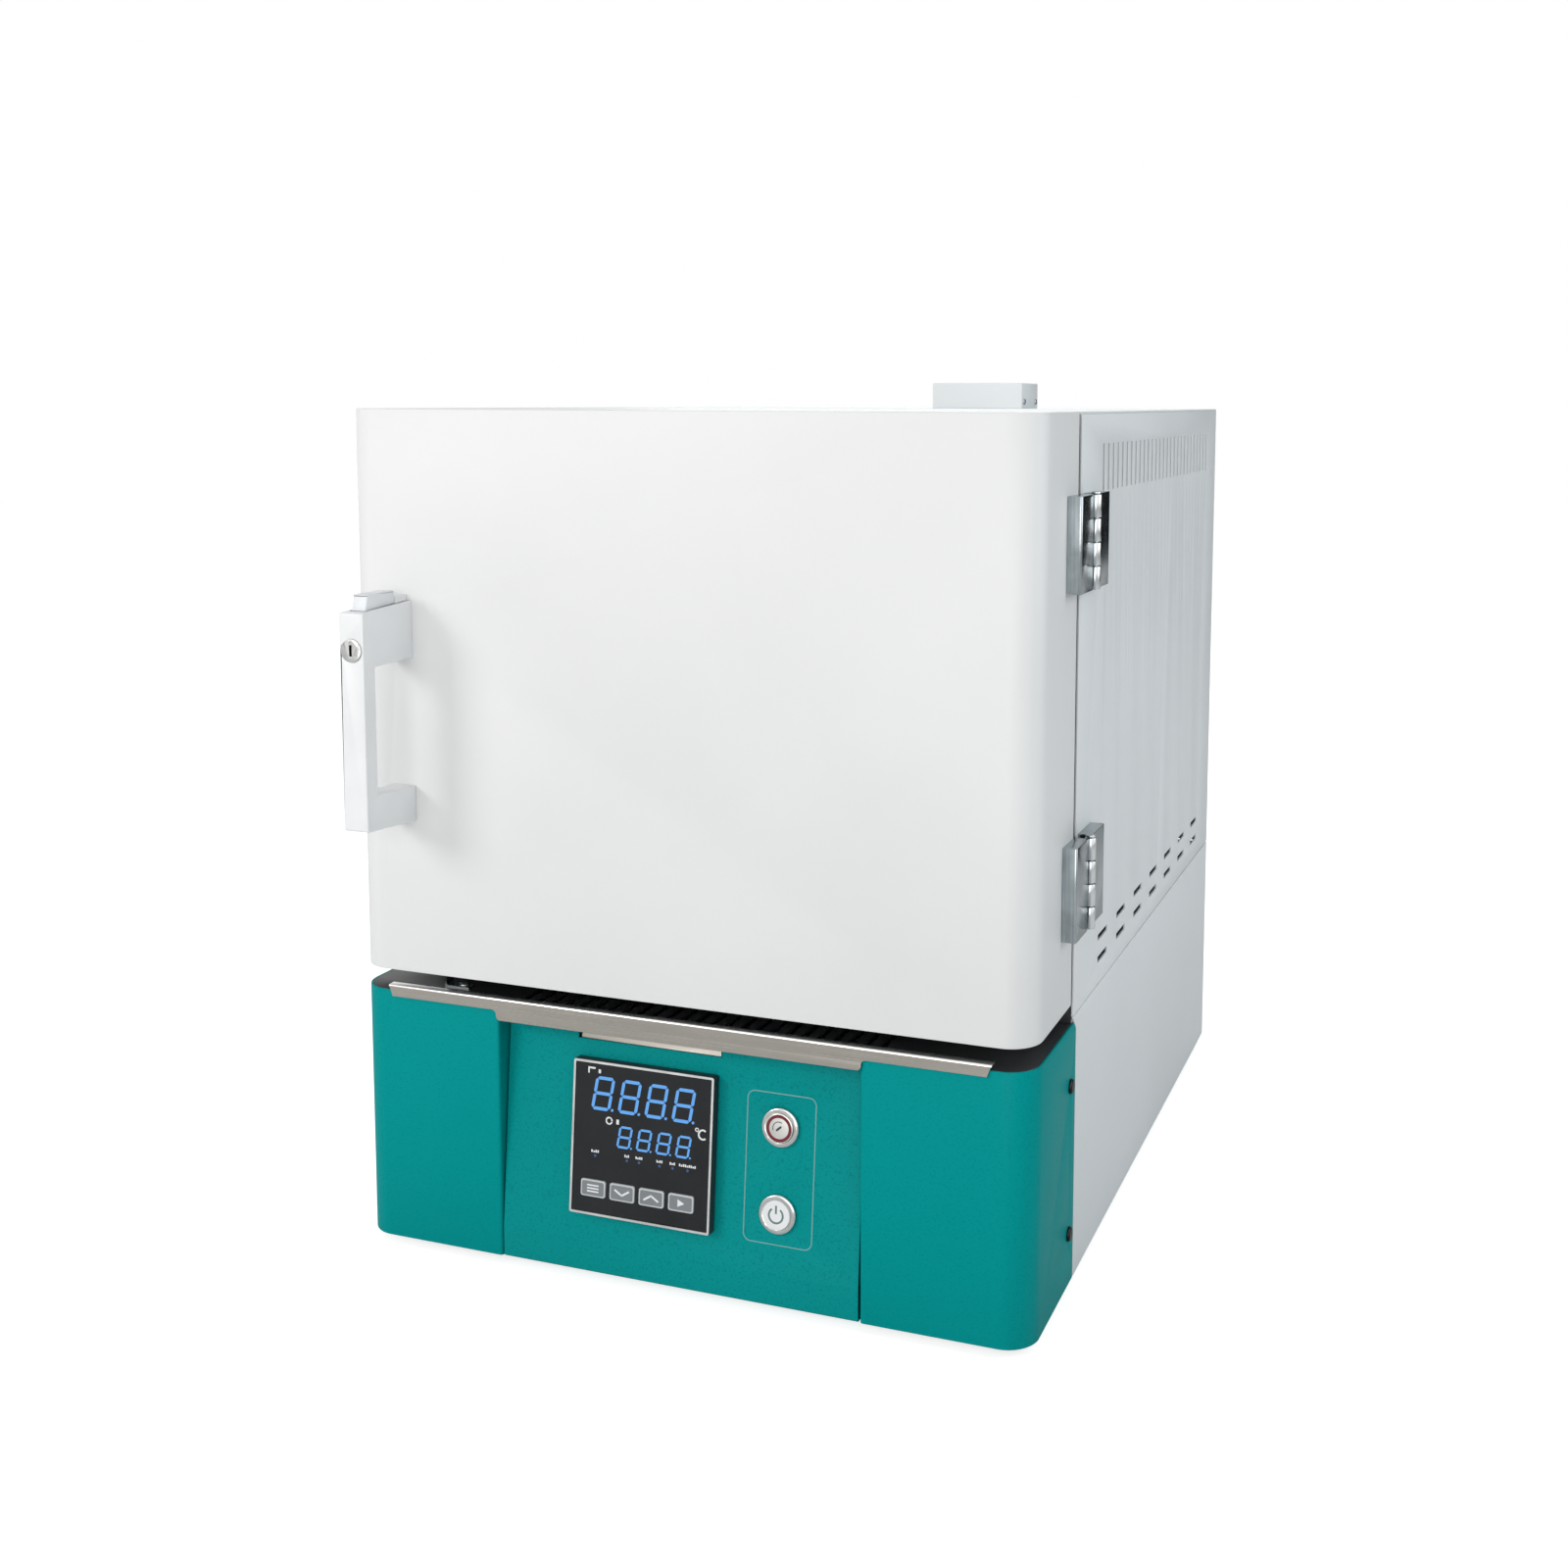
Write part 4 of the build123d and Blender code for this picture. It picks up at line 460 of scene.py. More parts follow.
FINISHES = {
    # The door's paint turns near black along its rear edge: painted shade for the gap round the door
    "door_white": powder_paint(
        "door_white_paint", (0.84, 0.84, 0.84), specular=0.3, gap_shade_behind=DOOR_GAP_SHADE_Y
    ),
    "casing_grey": powder_paint("casing_paint", (0.83, 0.85, 0.86), specular=0.15),
    "teal_wing": powder_paint("teal_wing_paint", (0.0, 0.29, 0.29), specular=0.04, speckle=0.12),
    "teal_panel": powder_paint("teal_panel_paint", (0.002, 0.28, 0.28), specular=0.04, speckle=0.2),
    # The trim's top bend is painted near white: a painted highlight
    "stainless": brushed_steel(
        "brushed_stainless", (0.64, 0.59, 0.53), (9.0, 900.0, 900.0), highlight_from=TRIM_TOP - TRIM_BEND
    ),
    # The hinge knuckles, past the hinge face, are painted pale: a painted highlight
    "zinc_plate": zinc_with_knuckle_highlight(
        "zinc_plated_steel", (0.42, 0.46, 0.48), (0.78, 0.80, 0.80), HINGE_FACE + 0.4, 0.22
    ),
    "galvanised": spangled_zinc("galvanised_sheet", (0.60, 0.62, 0.63)),
    "deck_black": powder_paint("deck_black_paint", (0.012, 0.014, 0.016), roughness=0.38, specular=0.5),
    "black_screw": plated_metal("blackened_screw", (0.03, 0.03, 0.032), 0.38),
    "chrome": plated_metal("chrome_plate", (0.70, 0.70, 0.69), 0.14, tone=0.05),
    "handle_grey": moulded_plastic("handle_plastic", (0.88, 0.89, 0.90), 0.38),
    "thumb_grey": moulded_plastic("thumb_button_plastic", (0.84, 0.86, 0.885), 0.4),
    "rubber": moulded_plastic("foot_rubber", (0.02, 0.02, 0.02), 0.75, 500.0, 0.05),
    "aluminium": brushed_steel("heat_sink_aluminium", (0.62, 0.63, 0.64), (600.0, 600.0, 12.0), 0.35),
    "relay_plastic": moulded_plastic("relay_plastic", (0.72, 0.72, 0.69), 0.4),
    "terminal_plastic": moulded_plastic("terminal_plastic", (0.55, 0.54, 0.50), 0.5),
    "gland_plastic": moulded_plastic("gland_plastic", (0.025, 0.025, 0.027), 0.5),
    "controller_plastic": moulded_plastic("controller_plastic", (0.02, 0.021, 0.024), 0.42),
    "controller_glass": dark_glass("controller_window"),
    "key_grey": moulded_plastic("key_rubber", (0.55, 0.56, 0.57), 0.4),
    "cap_white": moulded_plastic("power_cap_plastic", (0.84, 0.85, 0.86), 0.3),
    "cap_silver": plated_metal("start_cap_metal", (0.74, 0.73, 0.70), 0.3),
    "chamber_ceramic": fired_ceramic("chamber_fibre_ceramic", (0.84, 0.81, 0.74)),
    "hearth_ceramic": fired_ceramic(
        "hearth_cordierite", (0.70, 0.60, 0.46), (500.0, 500.0, 500.0), 5.0, 0.12
    ),
    "fibre": fired_ceramic("insulating_fibre", (0.86, 0.85, 0.82), (200.0, 60.0, 300.0), 3.0, 0.5),
    "seal_rope": woven_rope("glass_fibre_rope", (0.78, 0.75, 0.68)),
    "element_alloy": plated_metal("heater_alloy", (0.26, 0.235, 0.21), 0.55),
}
SLOTS = {part["node"]: part["material_slot"] for part in frame["record"]["subparts"]}
BODIES = {node: body for body, members in frame["record"]["behaviour"]["bodies"].items() for node in members}
DISPLAY_BLUE = lamp_blue("display_blue", (0.115, 0.36, 0.80), 1.0)
LAMP_DIM = lamp_blue("status_lamp_dim", (0.07, 0.12, 0.33), 0.6)
LABEL_WHITE = printed_ink("label_white", (0.80, 0.81, 0.82))
FRAME_SILVER = plated_metal("controller_frame_silver", (0.80, 0.80, 0.79), 0.3)
OUTLINE_GREY = printed_ink("outline_grey", (0.16, 0.36, 0.36))
KEY_FIELD = printed_ink("key_field_grey", (0.20, 0.215, 0.23))
# Dark ink for the start button's mark, and the painted shade of the screws' cross recesses
DARK_INK_AND_SHADE = printed_ink("dark_ink_and_shade", (0.03, 0.035, 0.045))
SYMBOL_GREY = printed_ink("symbol_grey", (0.14, 0.20, 0.20))
SYMBOL_WHITE = printed_ink("symbol_white", (0.80, 0.81, 0.82))
RING_RED = moulded_plastic("start_ring_red", (0.16, 0.012, 0.02), 0.3)


# Meshes

def mesh_object(name, points, faces, material, smooth=True):
    """A mesh from an array of points and a list of faces."""
    mesh = bpy.data.meshes.new(name)
    mesh.from_pydata(np.asarray(points).reshape(-1, 3).tolist(), [], [list(map(int, face)) for face in faces])
    mesh.materials.append(material)
    mesh.polygons.foreach_set("use_smooth", np.full(len(mesh.polygons), smooth))
    mesh.update()
    made = bpy.data.objects.new(name, mesh)
    bpy.context.scene.collection.objects.link(made)
    return made


def ring_faces(stations, around, looped=False):
    """Quads between neighbouring closed rings of points; the last ring joins the first when looped."""
    row = np.arange(stations if looped else stations - 1)[:, None]
    column = np.arange(around)[None, :]
    beside = (column + 1) % around
    here, ahead = row * around, (row + 1) % stations * around
    return np.stack((here + column, here + beside, ahead + beside, ahead + column), -1).reshape(-1, 4)


def skin(name, rings, material, looped=False, smooth=True):
    """A skin over rings of points, shaped (stations, around, 3), with flat ends unless it is looped."""
    stations, around = rings.shape[:2]
    faces = ring_faces(stations, around, looped).tolist()
    if not looped:
        faces.append(list(range(around))[::-1])
        faces.append(list(range((stations - 1) * around, stations * around)))
    made = mesh_object(name, rings, faces, material, smooth)
    work = bmesh.new()
    work.from_mesh(made.data)
    bmesh.ops.recalc_face_normals(work, faces=work.faces)
    work.to_mesh(made.data)
    work.free()
    return made


def bars_on_panel(name, outlines, out, thick, material, body):
    """Flat shapes on the control panel: outlines of (across, up), each raised from out by a thickness."""
    points, faces = [], []
    for outline in outlines:
        first = len(points)
        count = len(outline)
        for level in (out, out + thick):
            points.extend((x, v, level) for x, v in outline)
        faces.append([first + i for i in range(count)][::-1])
        faces.append([first + count + i for i in range(count)])
        for i in range(count):
            here, beside = first + i, first + (i + 1) % count
            faces.append([here, beside, beside + count, here + count])
    made = mesh_object(name, on_panel(points), faces, material, smooth=False)
    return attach(made, body)


def moved(outline, centre):
    """Moves an outline to its centre."""
    return np.asarray(outline, float) + np.asarray(centre, float)


def disc(radius, centre, count=24):
    """A circle of points."""
    angle = np.arange(count) * TAU / count
    return moved(np.stack((np.cos(angle), np.sin(angle)), -1) * radius, centre)


def stroke(start, end, width, pointed=False):
    """A straight bar between two points; pointed gives it the six corners of a display segment."""
    start, end = np.array(start, float), np.array(end, float)
    way = (end - start) / np.linalg.norm(end - start)
    side = np.array((-way[1], way[0])) * width / 2
    if not pointed:
        return np.array((start - side, end - side, end + side, start + side))
    tip = way * width / 2
    return np.array((start, start + tip - side, end - tip - side, end, end - tip + side, start + tip + side))


def arc_band(radius, width, start, end, centre, count=40):
    """A band along an arc, from a start to an end angle in degrees."""
    angle = np.radians(np.linspace(start, end, count))
    unit = np.stack((np.cos(angle), np.sin(angle)), -1)
    return moved(np.concatenate((unit * (radius - width / 2), unit[::-1] * (radius + width / 2))), centre)


def rounded_rectangle(width, height, radius, count=9):
    """The points of a rectangle with round corners, counter-clockwise about its middle."""
    angle = np.linspace(0, math.pi / 2, count)
    corner = np.stack((np.cos(angle), np.sin(angle)), -1) * radius
    quarter = np.array(((0, -1), (1, 0)))
    points = []
    middle = np.array((width / 2 - radius, height / 2 - radius))
    signs = ((1, 1), (-1, 1), (-1, -1), (1, -1))
    for turn, sign in enumerate(signs):
        spin = np.linalg.matrix_power(quarter, turn)
        points.append(corner @ spin.T + middle * sign)
    return np.concatenate(points)


def band_on_panel(name, outer, inner, out, thick, material, body):
    """A flat ring on the control panel between two outlines with as many points."""
    levels = ((outer, out), (outer, out + thick), (inner, out + thick), (inner, out))
    rings = np.stack([np.column_stack((line, np.full(len(line), level))) for line, level in levels])
    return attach(skin(name, on_panel(rings), material, looped=True, smooth=False), body)


# CAD nodes with softened edges

def softened(node, edge):
    """A merged copy of a CAD node that stands for it, its sharp edges rounded as paint or a mould does."""
    work = bmesh.new()
    work.from_mesh(NODES[node].data)
    bmesh.ops.remove_doubles(work, verts=work.verts, dist=1e-6)
    bmesh.ops.dissolve_limit(work, angle_limit=FLAT_WITHIN, verts=work.verts, edges=work.edges)
    mesh = bpy.data.meshes.new(node + "_finish")
    work.to_mesh(mesh)
    work.free()
    mesh.materials.clear()
    mesh.materials.append(FINISHES[SLOTS[node]])
    mesh.polygons.foreach_set("material_index", np.zeros(len(mesh.polygons), int))
    mesh.polygons.foreach_set("use_smooth", np.ones(len(mesh.polygons), bool))
    made = bpy.data.objects.new(node + "_finish", mesh)
    bpy.context.scene.collection.objects.link(made)
    bevel = made.modifiers.new("soft_edges", "BEVEL")
    bevel.width = edge * MM
    bevel.segments = SOFT_SEGMENTS
    bevel.limit_method = "ANGLE"
    bevel.angle_limit = SHARP_FROM
    bevel.use_clamp_overlap = False
    bevel.harden_normals = True
    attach(made, BODIES[node])
    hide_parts(node)


SOFT_EDGES = {
    "door_shell": 0.8, "casing_front_frame": 0.5, "casing_right_panel": 0.35, "casing_left_panel": 0.35,
    "casing_roof": 0.4, "casing_rear_panel": 0.3, "base_right_panel": 0.4, "base_left_panel": 0.4,
    "base_rear_panel": 0.3, "fascia_right_wing": 0.4, "fascia_left_wing": 0.4, "control_panel": 0.4,
    "stainless_trim": 0.2, "base_deck": 0.3, "chimney_cover": 0.5, "controller_case": 0.4,
    "controller_backplate": 0.2, "handle_body": 0.8, "thumb_button": 0.6, "hinge_casing_leaves": 0.25,
    "hinge_door_leaves": 0.25, "hinge_pins": 0.2, "fascia_screws": 0.35, "button_housings": 0.3,
    "power_button_cap": 0.3, "start_button_cap": 0.3, "set_key": 0.3, "down_key": 0.3, "up_key": 0.3,
    "run_key": 0.3, "key_cylinder": 0.12, "rubber_feet": 0.6, "hearth_plate": 0.5, "door_plug": 0.8,
}


def dress_cad_nodes():
    """Gives every CAD node its material, and the ones in sight their softened copies."""
    for name, node in NODES.items():
        node.data.materials.clear()
        node.data.materials.append(FINISHES[SLOTS[name]])
    for name, edge in SOFT_EDGES.items():
        softened(name, edge)


# Controller and push-buttons

def on_controller(u, w):
    """A point of the controller's face, in fractions of its size right of and below its top left corner."""
    return (CONTROLLER_X + (u - 0.5) * CONTROLLER_SIZE, CONTROLLER_V + (0.5 - w) * CONTROLLER_SIZE)


def lit_figure(corner, width, height, line):
    """The seven segments of a figure eight and its point, leaning to the right by a share of the height."""
    gap = line * 0.12
    bars = [((gap, level), (width - gap, level)) for level in (0.0, height / 2, height)]
    for side in (0.0, width):
        bars.append(((side, gap), (side, height / 2 - gap)))
        bars.append(((side, height / 2 + gap), (side, height - gap)))
    outlines = [stroke(start, end, line, pointed=True) for start, end in bars]
    outlines.append(disc(line * 0.45, (width + line * 1.2, 0.0), 12))
    shear = np.array(((1.0, 0.0), (FIGURE_LEAN, 1.0)))
    return [moved(outline @ shear, corner) for outline in outlines]


def small_label(u, w, width):
    """A label too small to read: a row of blocks, every third one lower, centred at its place."""
    x, v = on_controller(u, w)
    count = max(2, round(width / LABEL_PITCH))
    foot = v - LABEL_TALL / 2
    blocks = []
    for i in range(count):
        height = LABEL_LOW if i % 3 == 1 else LABEL_TALL
        start = x - width / 2 + i * width / count
        end = start + LABEL_INK_SHARE * width / count
        blocks.append(stroke((start, foot + height / 2), (end, foot + height / 2), height))
    return blocks


def display():
    """Two rows of lit figures, the signs beside them, and the status lamps under their labels."""
    figures = []
    for place in range(FIGURES_IN_ROW):
        for (u, w), step, sizes in FIGURE_ROWS:
            figures += lit_figure(on_controller(u + step * place, w), *sizes)
    bars_on_panel("display_figures", figures, GLASS_OUT, PRINT_T, DISPLAY_BLUE, "furnace")
    status_lamps, marks = [], []
    for u, width in STATUS_LABELS:
        status_lamps.append(disc(LAMP_RADIUS, on_controller(u, LAMP_ROW), 12))
        marks += small_label(u, LABEL_ROW, width)
    bars_on_panel("status_lamps", status_lamps, GLASS_OUT, PRINT_T, LAMP_DIM, "furnace")
    x, v = on_controller(0.105, 0.067)
    marks.append(stroke((x + 0.5, v - 1.7), (x + 0.5, v + 1.1), 1.0))
    marks.append(stroke((x, v + 1.6), (x + 5.0, v + 1.6), 1.1))
    marks.append(stroke((x + 7.2, v), (x + 8.8, v), 2.4))
    x, v = on_controller(0.268, 0.375)
    marks.append(arc_band(2.0, 0.9, 0, 350, (x, v), 24))
    marks.append(stroke((x + 5.0, v), (x + 6.8, v), 3.0))
    marks.append(arc_band(1.0, 0.6, 0, 350, on_controller(0.889, 0.345), 20))
    marks.append(arc_band(2.8, 1.1, 50, 310, on_controller(0.931, 0.372), 24))
    bars_on_panel("display_marks", marks, GLASS_OUT, PRINT_T, LABEL_WHITE, "furnace")
    middle = (CONTROLLER_X, CONTROLLER_V)
    outer = moved(rounded_rectangle(CONTROLLER_SIZE - 0.6, CONTROLLER_SIZE - 0.6, 1.3), middle)
    inner = moved(rounded_rectangle(CONTROLLER_SIZE - 3.4, CONTROLLER_SIZE - 3.4, 0.4), middle)
    band_on_panel("controller_frame", outer, inner, BEZEL_OUT, PRINT_T, FRAME_SILVER, "furnace")


def key_symbols():
    """A grey field on each key, and its plain sign: bars, a chevron down, a chevron up and a triangle."""
    bars = [stroke((-4.0, v), (4.0, v), 0.9) for v in (-1.9, 0.0, 1.9)]
    down = [stroke((-5.0, 1.6), (0.35, -1.7), 1.2), stroke((-0.35, -1.7), (5.0, 1.6), 1.2)]
    up = [(outline * (1, -1))[::-1] for outline in down]
    triangle = [np.array(((-2.0, -2.3), (2.6, 0.0), (-2.0, 2.3)))]
    for node, outlines in zip(KEY_X, (bars, down, up, triangle)):
        middle = (KEY_X[node], KEY_V)
        field = moved(rounded_rectangle(*FIELD_SIZE, FIELD_CORNER), middle)
        bars_on_panel(node + "_field", [field], KEY_OUT, PRINT_T, KEY_FIELD, BODIES[node])
        signs = [moved(outline, middle) for outline in outlines]
        bars_on_panel(node + "_sign", signs, KEY_OUT + PRINT_T, PRINT_T, SYMBOL_WHITE, BODIES[node])


def button_marks():
    """The line round the two push-buttons, the power sign, and the start button's dark ring and mark."""
    width, height = OUTLINE_SIZE
    middle = (BUTTON_X, OUTLINE_FOOT + height / 2)
    outer = moved(rounded_rectangle(width, height, OUTLINE_CORNER), middle)
    width, height = width - 2 * OUTLINE_LINE, height - 2 * OUTLINE_LINE
    inner = moved(rounded_rectangle(width, height, OUTLINE_CORNER - OUTLINE_LINE), middle)
    band_on_panel("button_outline", outer, inner, 0.0, PRINT_T, OUTLINE_GREY, "furnace")
    power = np.array((BUTTON_X, POWER_V))
    sign = [arc_band(4.5, 1.2, 125, 415, power), stroke(power + (0, 1.0), power + (0, 6.0), 1.2)]
    bars_on_panel("power_sign", sign, CAP_OUT, PRINT_T, SYMBOL_GREY, "power_cap")
    start = np.array((BUTTON_X, START_V))
    outer, inner = (disc(radius, start, 48) for radius in RING_RADII)
    band_on_panel("start_ring", outer, inner, CAP_OUT, PRINT_T, RING_RED, "start_cap")
    pointer = stroke(start - (1.9, 1.7), start + (1.7, 1.5), 1.3, pointed=True)
    marks = [pointer, arc_band(3.9, 0.5, 60, 200, start)]
    bars_on_panel("start_mark", marks, CAP_OUT, PRINT_T, DARK_INK_AND_SHADE, "start_cap")


# Heaters and seal

def wire_rings(path):
    """Rings of points about a wire's path, which winds round the y axis: each ring lies across the path."""
    way = np.gradient(path, axis=0)
    way /= np.linalg.norm(way, axis=1, keepdims=True)
    side = np.cross(way, (0.0, 1.0, 0.0))
    side /= np.linalg.norm(side, axis=1, keepdims=True)
    up = np.cross(side, way)
    angle = np.arange(HEATER_AROUND) * TAU / HEATER_AROUND
    cos, sin = np.cos(angle)[None, :, None], np.sin(angle)[None, :, None]
    return path[:, None] + HEATER_WIRE * (cos * side[:, None] + sin * up[:, None])


def wound_heaters():
    """Alloy wire wound in a close helix, one per heating rod: x and z go round as y runs along the rod."""
    steps = HEATER_TURNS * HEATER_STEPS_A_TURN
    angle = np.linspace(0, HEATER_TURNS * TAU, steps)
    x, z = HEATER_COIL * np.cos(angle), HEATER_COIL * np.sin(angle)
    along = np.linspace(*HEATER_Y, steps)
    one_wire = ring_faces(steps, HEATER_AROUND)
    faces = np.concatenate([one_wire + i * steps * HEATER_AROUND for i in range(len(HEATER_Z))])
    for name, side in (("heater_wire_left", -1), ("heater_wire_right", 1)):
        paths = [np.stack((side * HEATER_X + x, along, level + z), -1) for level in HEATER_Z]
        points = from_cabinet(np.stack([wire_rings(path) for path in paths]))
        wires = mesh_object(name, points, faces, FINISHES["element_alloy"])
        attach(wires, "furnace")
        if side > 0:
            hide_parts("heating_elements")


def seal_rope():
    """A round rope along a rounded rectangle on the door's inner side: x and z follow the rectangle, moved
    out by the cosine of the angle round the rope, and y moves by its sine. The UVs run along and around."""
    low, high = cabinet_box("door_seal")
    radius = (high[1] - low[1]) / 2
    width, height = high[0] - low[0] - 2 * radius, high[2] - low[2] - 2 * radius
    line = rounded_rectangle(width, height, ROPE_CORNER, 13)
    closed = np.vstack((line, line[:1]))
    length = np.concatenate(([0], np.cumsum(np.linalg.norm(np.diff(closed, axis=0), axis=1))))
    at = np.linspace(0, length[-1], ROPE_STATIONS, endpoint=False)
    path = np.stack([np.interp(at, length, closed[:, i]) for i in range(2)], -1)
    ahead = np.roll(path, -1, 0) - np.roll(path, 1, 0)
    ahead /= np.linalg.norm(ahead, axis=1, keepdims=True)
    out = np.stack((ahead[:, 1], -ahead[:, 0]), -1)
    angle = np.arange(ROPE_AROUND) * TAU / ROPE_AROUND
    middle = (low + high) / 2
    across = path[:, None] + radius * np.cos(angle)[None, :, None] * out[:, None]
    depth = np.broadcast_to(middle[1] + radius * np.sin(angle), (ROPE_STATIONS, ROPE_AROUND))
    rings = np.stack((across[..., 0] + middle[0], depth, across[..., 1] + middle[2]), -1)
    rope = skin("door_seal_rope", from_cabinet(rings), FINISHES["seal_rope"], looped=True)
    corner = np.zeros(len(rope.data.loops), int)
    rope.data.loops.foreach_get("vertex_index", corner)
    station, turn = corner // ROPE_AROUND, corner % ROPE_AROUND
    along = station * length[-1] / ROPE_STATIONS / STRAND_PITCH
    uv = np.stack((along, turn * STRANDS_AROUND / ROPE_AROUND), -1)
    layer = rope.data.uv_layers.new(name="strands")
    layer.data.foreach_set("uv", uv.astype(np.float32).ravel())
    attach(rope, "door")
    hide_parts("door_seal")


# Small fasteners

def screw_head(name, centre, axes, size):
    """A domed screw head: rings about its axis, and on its top two dark bars, painted shade for a cross
    recess.
    """
    across, up, out = (np.array(axis, float) for axis in axes)
    radius, height = size
    angle = np.arange(SCREW_AROUND) * TAU / SCREW_AROUND
    ring = np.cos(angle)[:, None] * across + np.sin(angle)[:, None] * up
    rings = np.stack([centre + ring * radius * wide + out * height * high for wide, high in SCREW_DOME])
    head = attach(skin(name, from_cabinet(rings), FINISHES["zinc_plate"]), "furnace")
    # Painted shade: flat dark bars just above the dome's top, in place of a cross recess
    top = centre + out * height * RECESS_SHADE_LEVEL
    points, faces = [], []
    for way, side in ((across, up), (up, across)):
        for along, beside in ((-1, -1), (1, -1), (1, 1), (-1, 1)):
            points.append(top + radius * (way * RECESS_SHADE_REACH * along + side * RECESS_SHADE_HALF_WIDTH * beside))
        faces.append(range(len(points) - 4, len(points)))
    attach(mesh_object(name + "_recess", from_cabinet(points), faces, DARK_INK_AND_SHADE, smooth=False), "furnace")


def cabinet_box(node):
    """The low and the high corner of a CAD node, in millimetres from the datum."""
    return (np.array(corner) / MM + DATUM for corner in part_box(node))


def screws():
    """Screws of the chimney cover and the rear panels, and the one that holds the clip on the deck."""
    to_right = ((0, 1, 0), (0, 0, 1), (1, 0, 0))
    to_rear = ((-1, 0, 0), (0, 0, 1), (0, 1, 0))
    upwards = ((1, 0, 0), (0, 1, 0), (0, 0, 1))
    low, high = cabinet_box("chimney_cover")
    for name, y in (("front", low[1] + CHIMNEY_SCREW_FROM_END), ("rear", high[1] - CHIMNEY_SCREW_FROM_END)):
        screw_head(f"chimney_screw_{name}", (high[0], y, low[2] + CHIMNEY_SCREW_UP), to_right, CHIMNEY_SCREW)
    for panel in ("casing_rear_panel", "base_rear_panel"):
        low, high = cabinet_box(panel)
        places = np.linspace(low[0] + REAR_SCREW_FROM_SIDE, high[0] - REAR_SCREW_FROM_SIDE, 3)
        for row, z in (("low", low[2] + REAR_SCREW_FROM_EDGE), ("top", high[2] - REAR_SCREW_FROM_EDGE)):
            for i, x in enumerate(places):
                screw_head(f"{panel}_screw_{row}_{i}", (x, high[1], z), to_rear, REAR_SCREW)
    screw_head("deck_clip_screw", CLIP_SCREW_PLACE, upwards, CLIP_SCREW)


def deck_clip():
    """A small clip at the deck's left end, bent from one strip: a foot under its screw and an upright lug."""
    ends = [[(CLIP_X + x, y, DECK_TOP + z) for x, z in CLIP_PROFILE] for y in CLIP_ENDS]
    clip = skin("deck_clip", from_cabinet(ends), FINISHES["zinc_plate"], smooth=False)
    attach(clip, "furnace")


# Stage

def white_room():
    """Soft white light from everywhere, and pure white for the eye and in what metal and glass show."""
    world = bpy.data.worlds.new("white_room")
    bpy.context.scene.world = world
    nodes = Nodes(world)
    soft = nodes.node("ShaderNodeBackground", {}, {"Color": (*ROOM_COLOUR, 1.0), "Strength": ROOM_LIGHT})
    white = nodes.node("ShaderNodeBackground", {}, {"Color": (1.0, 1.0, 1.0, 1.0), "Strength": 1.0})
    seen = nodes.ray("Camera").larger(nodes.ray("Glossy")).larger(nodes.ray("Transmission"))
    nodes.end("World Output", nodes.node("ShaderNodeMixShader", {}, {0: seen, 1: soft, 2: white}))


def studio_lights():
    """A key light from the front left, a broad front light, and soft fills from the right and the rear."""
    for name, place, size, power, colour in LIGHTS:
        lamp = bpy.data.lights.new(name, "AREA")
        lamp.size = size
        lamp.energy = power
        lamp.color = colour
        light = bpy.data.objects.new(name, lamp)
        bpy.context.scene.collection.objects.link(light)
        light.location = place
        light.rotation_euler = (Vector(LIGHT_AIM) - Vector(place)).to_track_quat("-Z", "Y").to_euler()


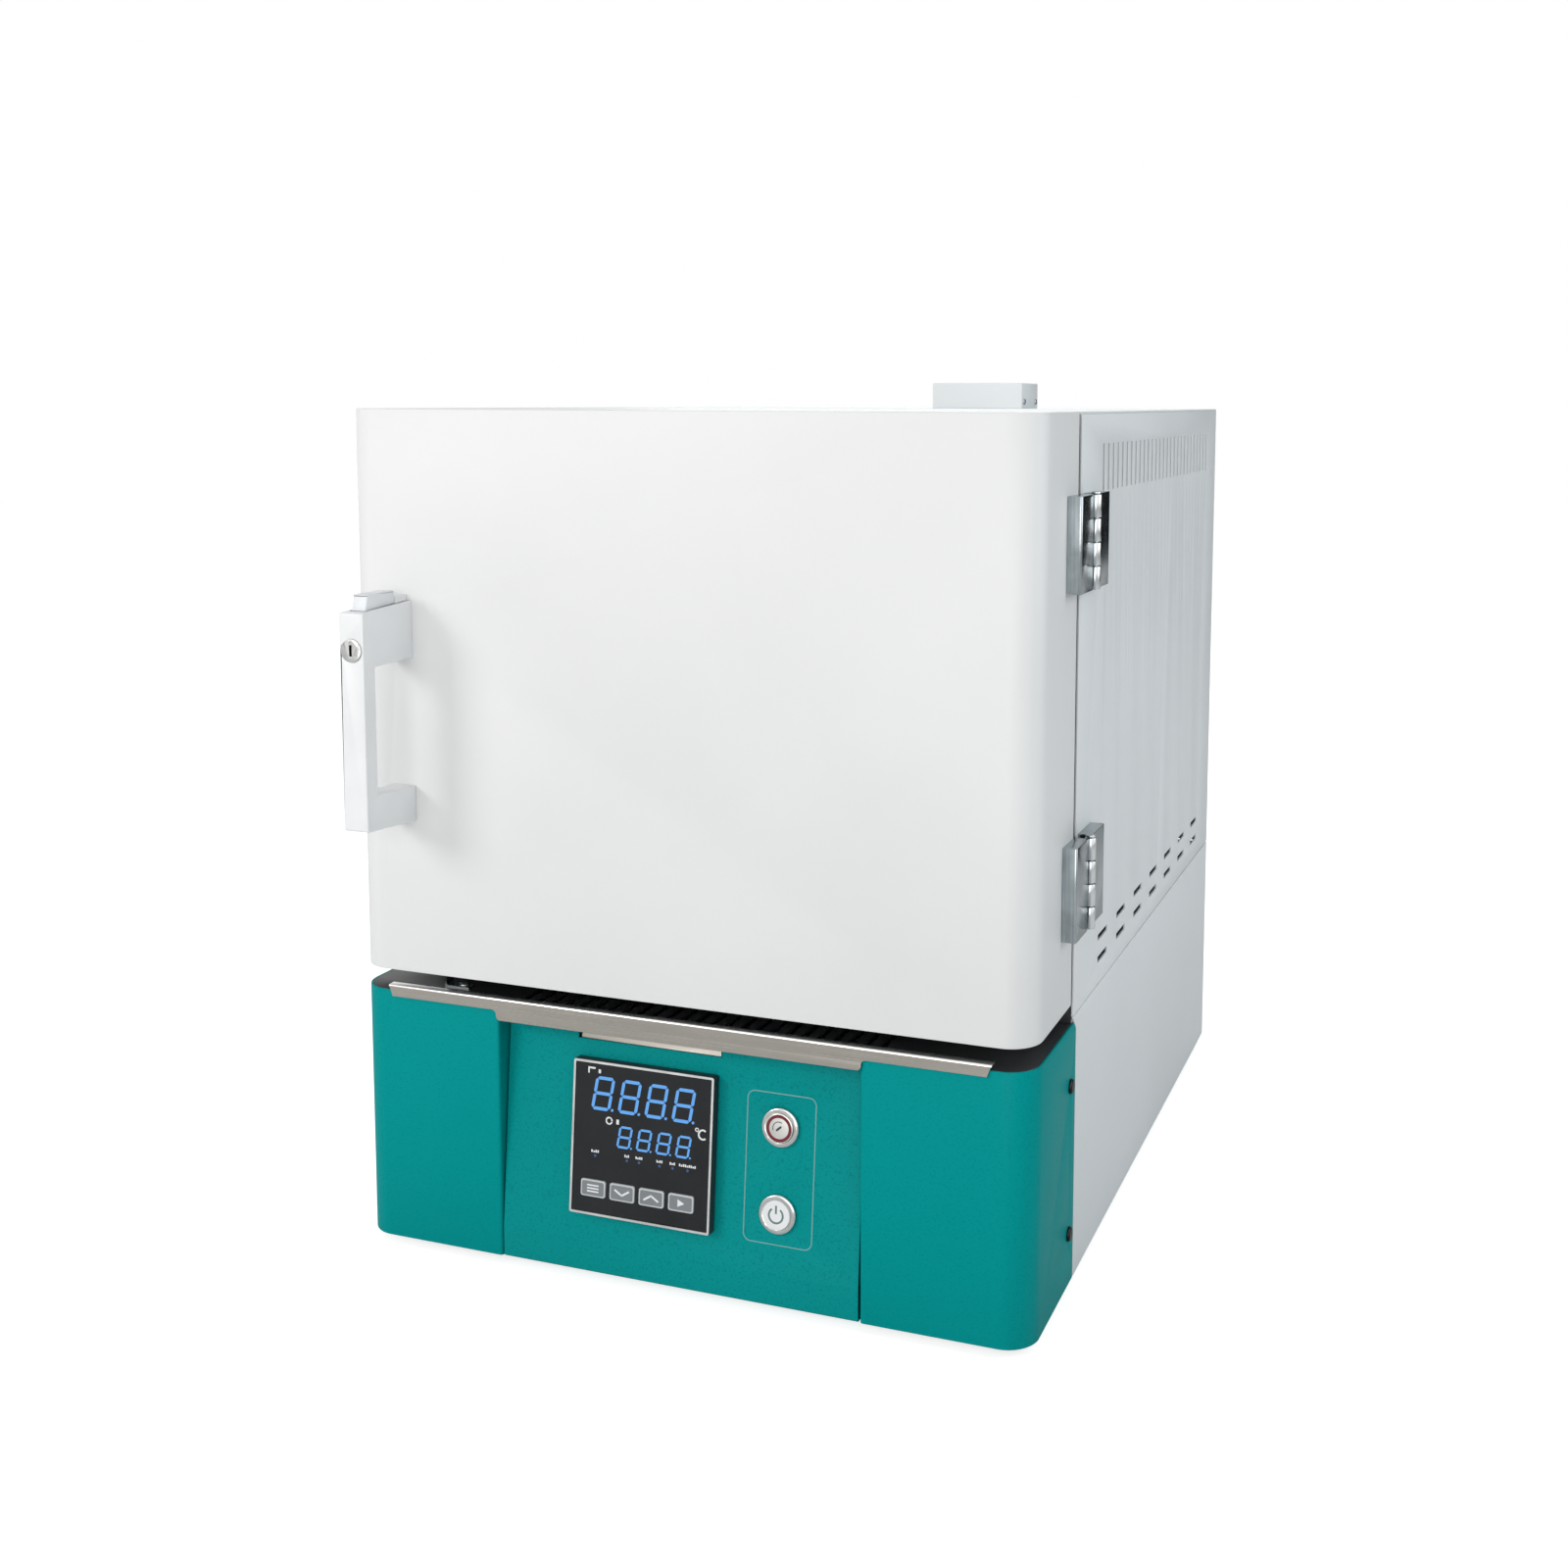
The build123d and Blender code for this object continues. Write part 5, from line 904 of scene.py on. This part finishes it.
def pale_floor():
    """A wide disc under the feet, lit as any surface is, with white of its own for the camera."""
    material = bpy.data.materials.new("pale_floor")
    nodes = Nodes(material)
    shader = nodes.tree.nodes["Principled BSDF"]
    shader.inputs["Base Color"].default_value = (*FLOOR_COLOUR, 1.0)
    shader.inputs["Roughness"].default_value = 0.9
    shader.inputs["Specular IOR Level"].default_value = 0.1
    glow = nodes.node("ShaderNodeEmission", {}, {"Strength": nodes.ray("Camera") * FLOOR_GLOW})
    surface = Wire(nodes, shader.outputs[0])
    nodes.end("Material Output", nodes.node("ShaderNodeAddShader", {}, {0: surface, 1: glow}))
    rim = disc(FLOOR_RADIUS, (0, 0), FLOOR_CORNERS)
    rim = np.column_stack((rim, np.full(FLOOR_CORNERS, -FLOOR_UNDER_FEET)))
    mesh_object("floor", rim, [range(FLOOR_CORNERS)], material)


def dark_card():
    """A dark card behind the furnace on the right, which only reflections see: metal's dark side."""
    finish = Finish("dark_card", Base_Color=(0.01, 0.011, 0.012, 1.0), Roughness=1.0, Specular_IOR_Level=0.0)
    middle = np.array(CARD_PLACE)
    away = middle / np.linalg.norm(middle)
    side = np.array((away[1], -away[0])) * CARD_WIDTH / 2
    near, far = middle - side, middle + side
    corners = [(*near, 0.0), (*far, 0.0), (*far, CARD_HEIGHT), (*near, CARD_HEIGHT)]
    card = mesh_object("dark_card", corners, [range(4)], finish.material)
    card.visible_camera = False
    card.visible_diffuse = False
    card.visible_shadow = False
    card.visible_transmission = False


def camera():
    """A camera at the photograph's place: turned about the furnace, raised a little and rolled a trace."""
    azimuth, elevation, roll = map(math.radians, CAMERA_TURN)
    reach = math.cos(elevation)
    back = Vector((math.sin(azimuth) * reach, -math.cos(azimuth) * reach, math.sin(elevation)))
    level = Vector((0.0, 0.0, 1.0)).cross(back).normalized()
    raised = back.cross(level)
    right = math.cos(roll) * level + math.sin(roll) * raised
    up = math.cos(roll) * raised - math.sin(roll) * level
    data = bpy.data.cameras.new("photo_camera")
    data.lens = CAMERA_LENS
    data.sensor_width = CAMERA_SENSOR
    data.shift_x, data.shift_y = CAMERA_SHIFT
    made = bpy.data.objects.new("photo_camera", data)
    bpy.context.scene.collection.objects.link(made)
    made.matrix_world = Matrix.Translation(CAMERA_PLACE) @ Matrix((right, up, back)).transposed().to_4x4()
    bpy.context.scene.camera = made


bpy.context.scene.view_settings.view_transform = "Standard"
camera()
white_room()
studio_lights()
pale_floor()
dark_card()
dress_cad_nodes()
display()
key_symbols()
button_marks()
wound_heaters()
seal_rope()
screws()
deck_clip()
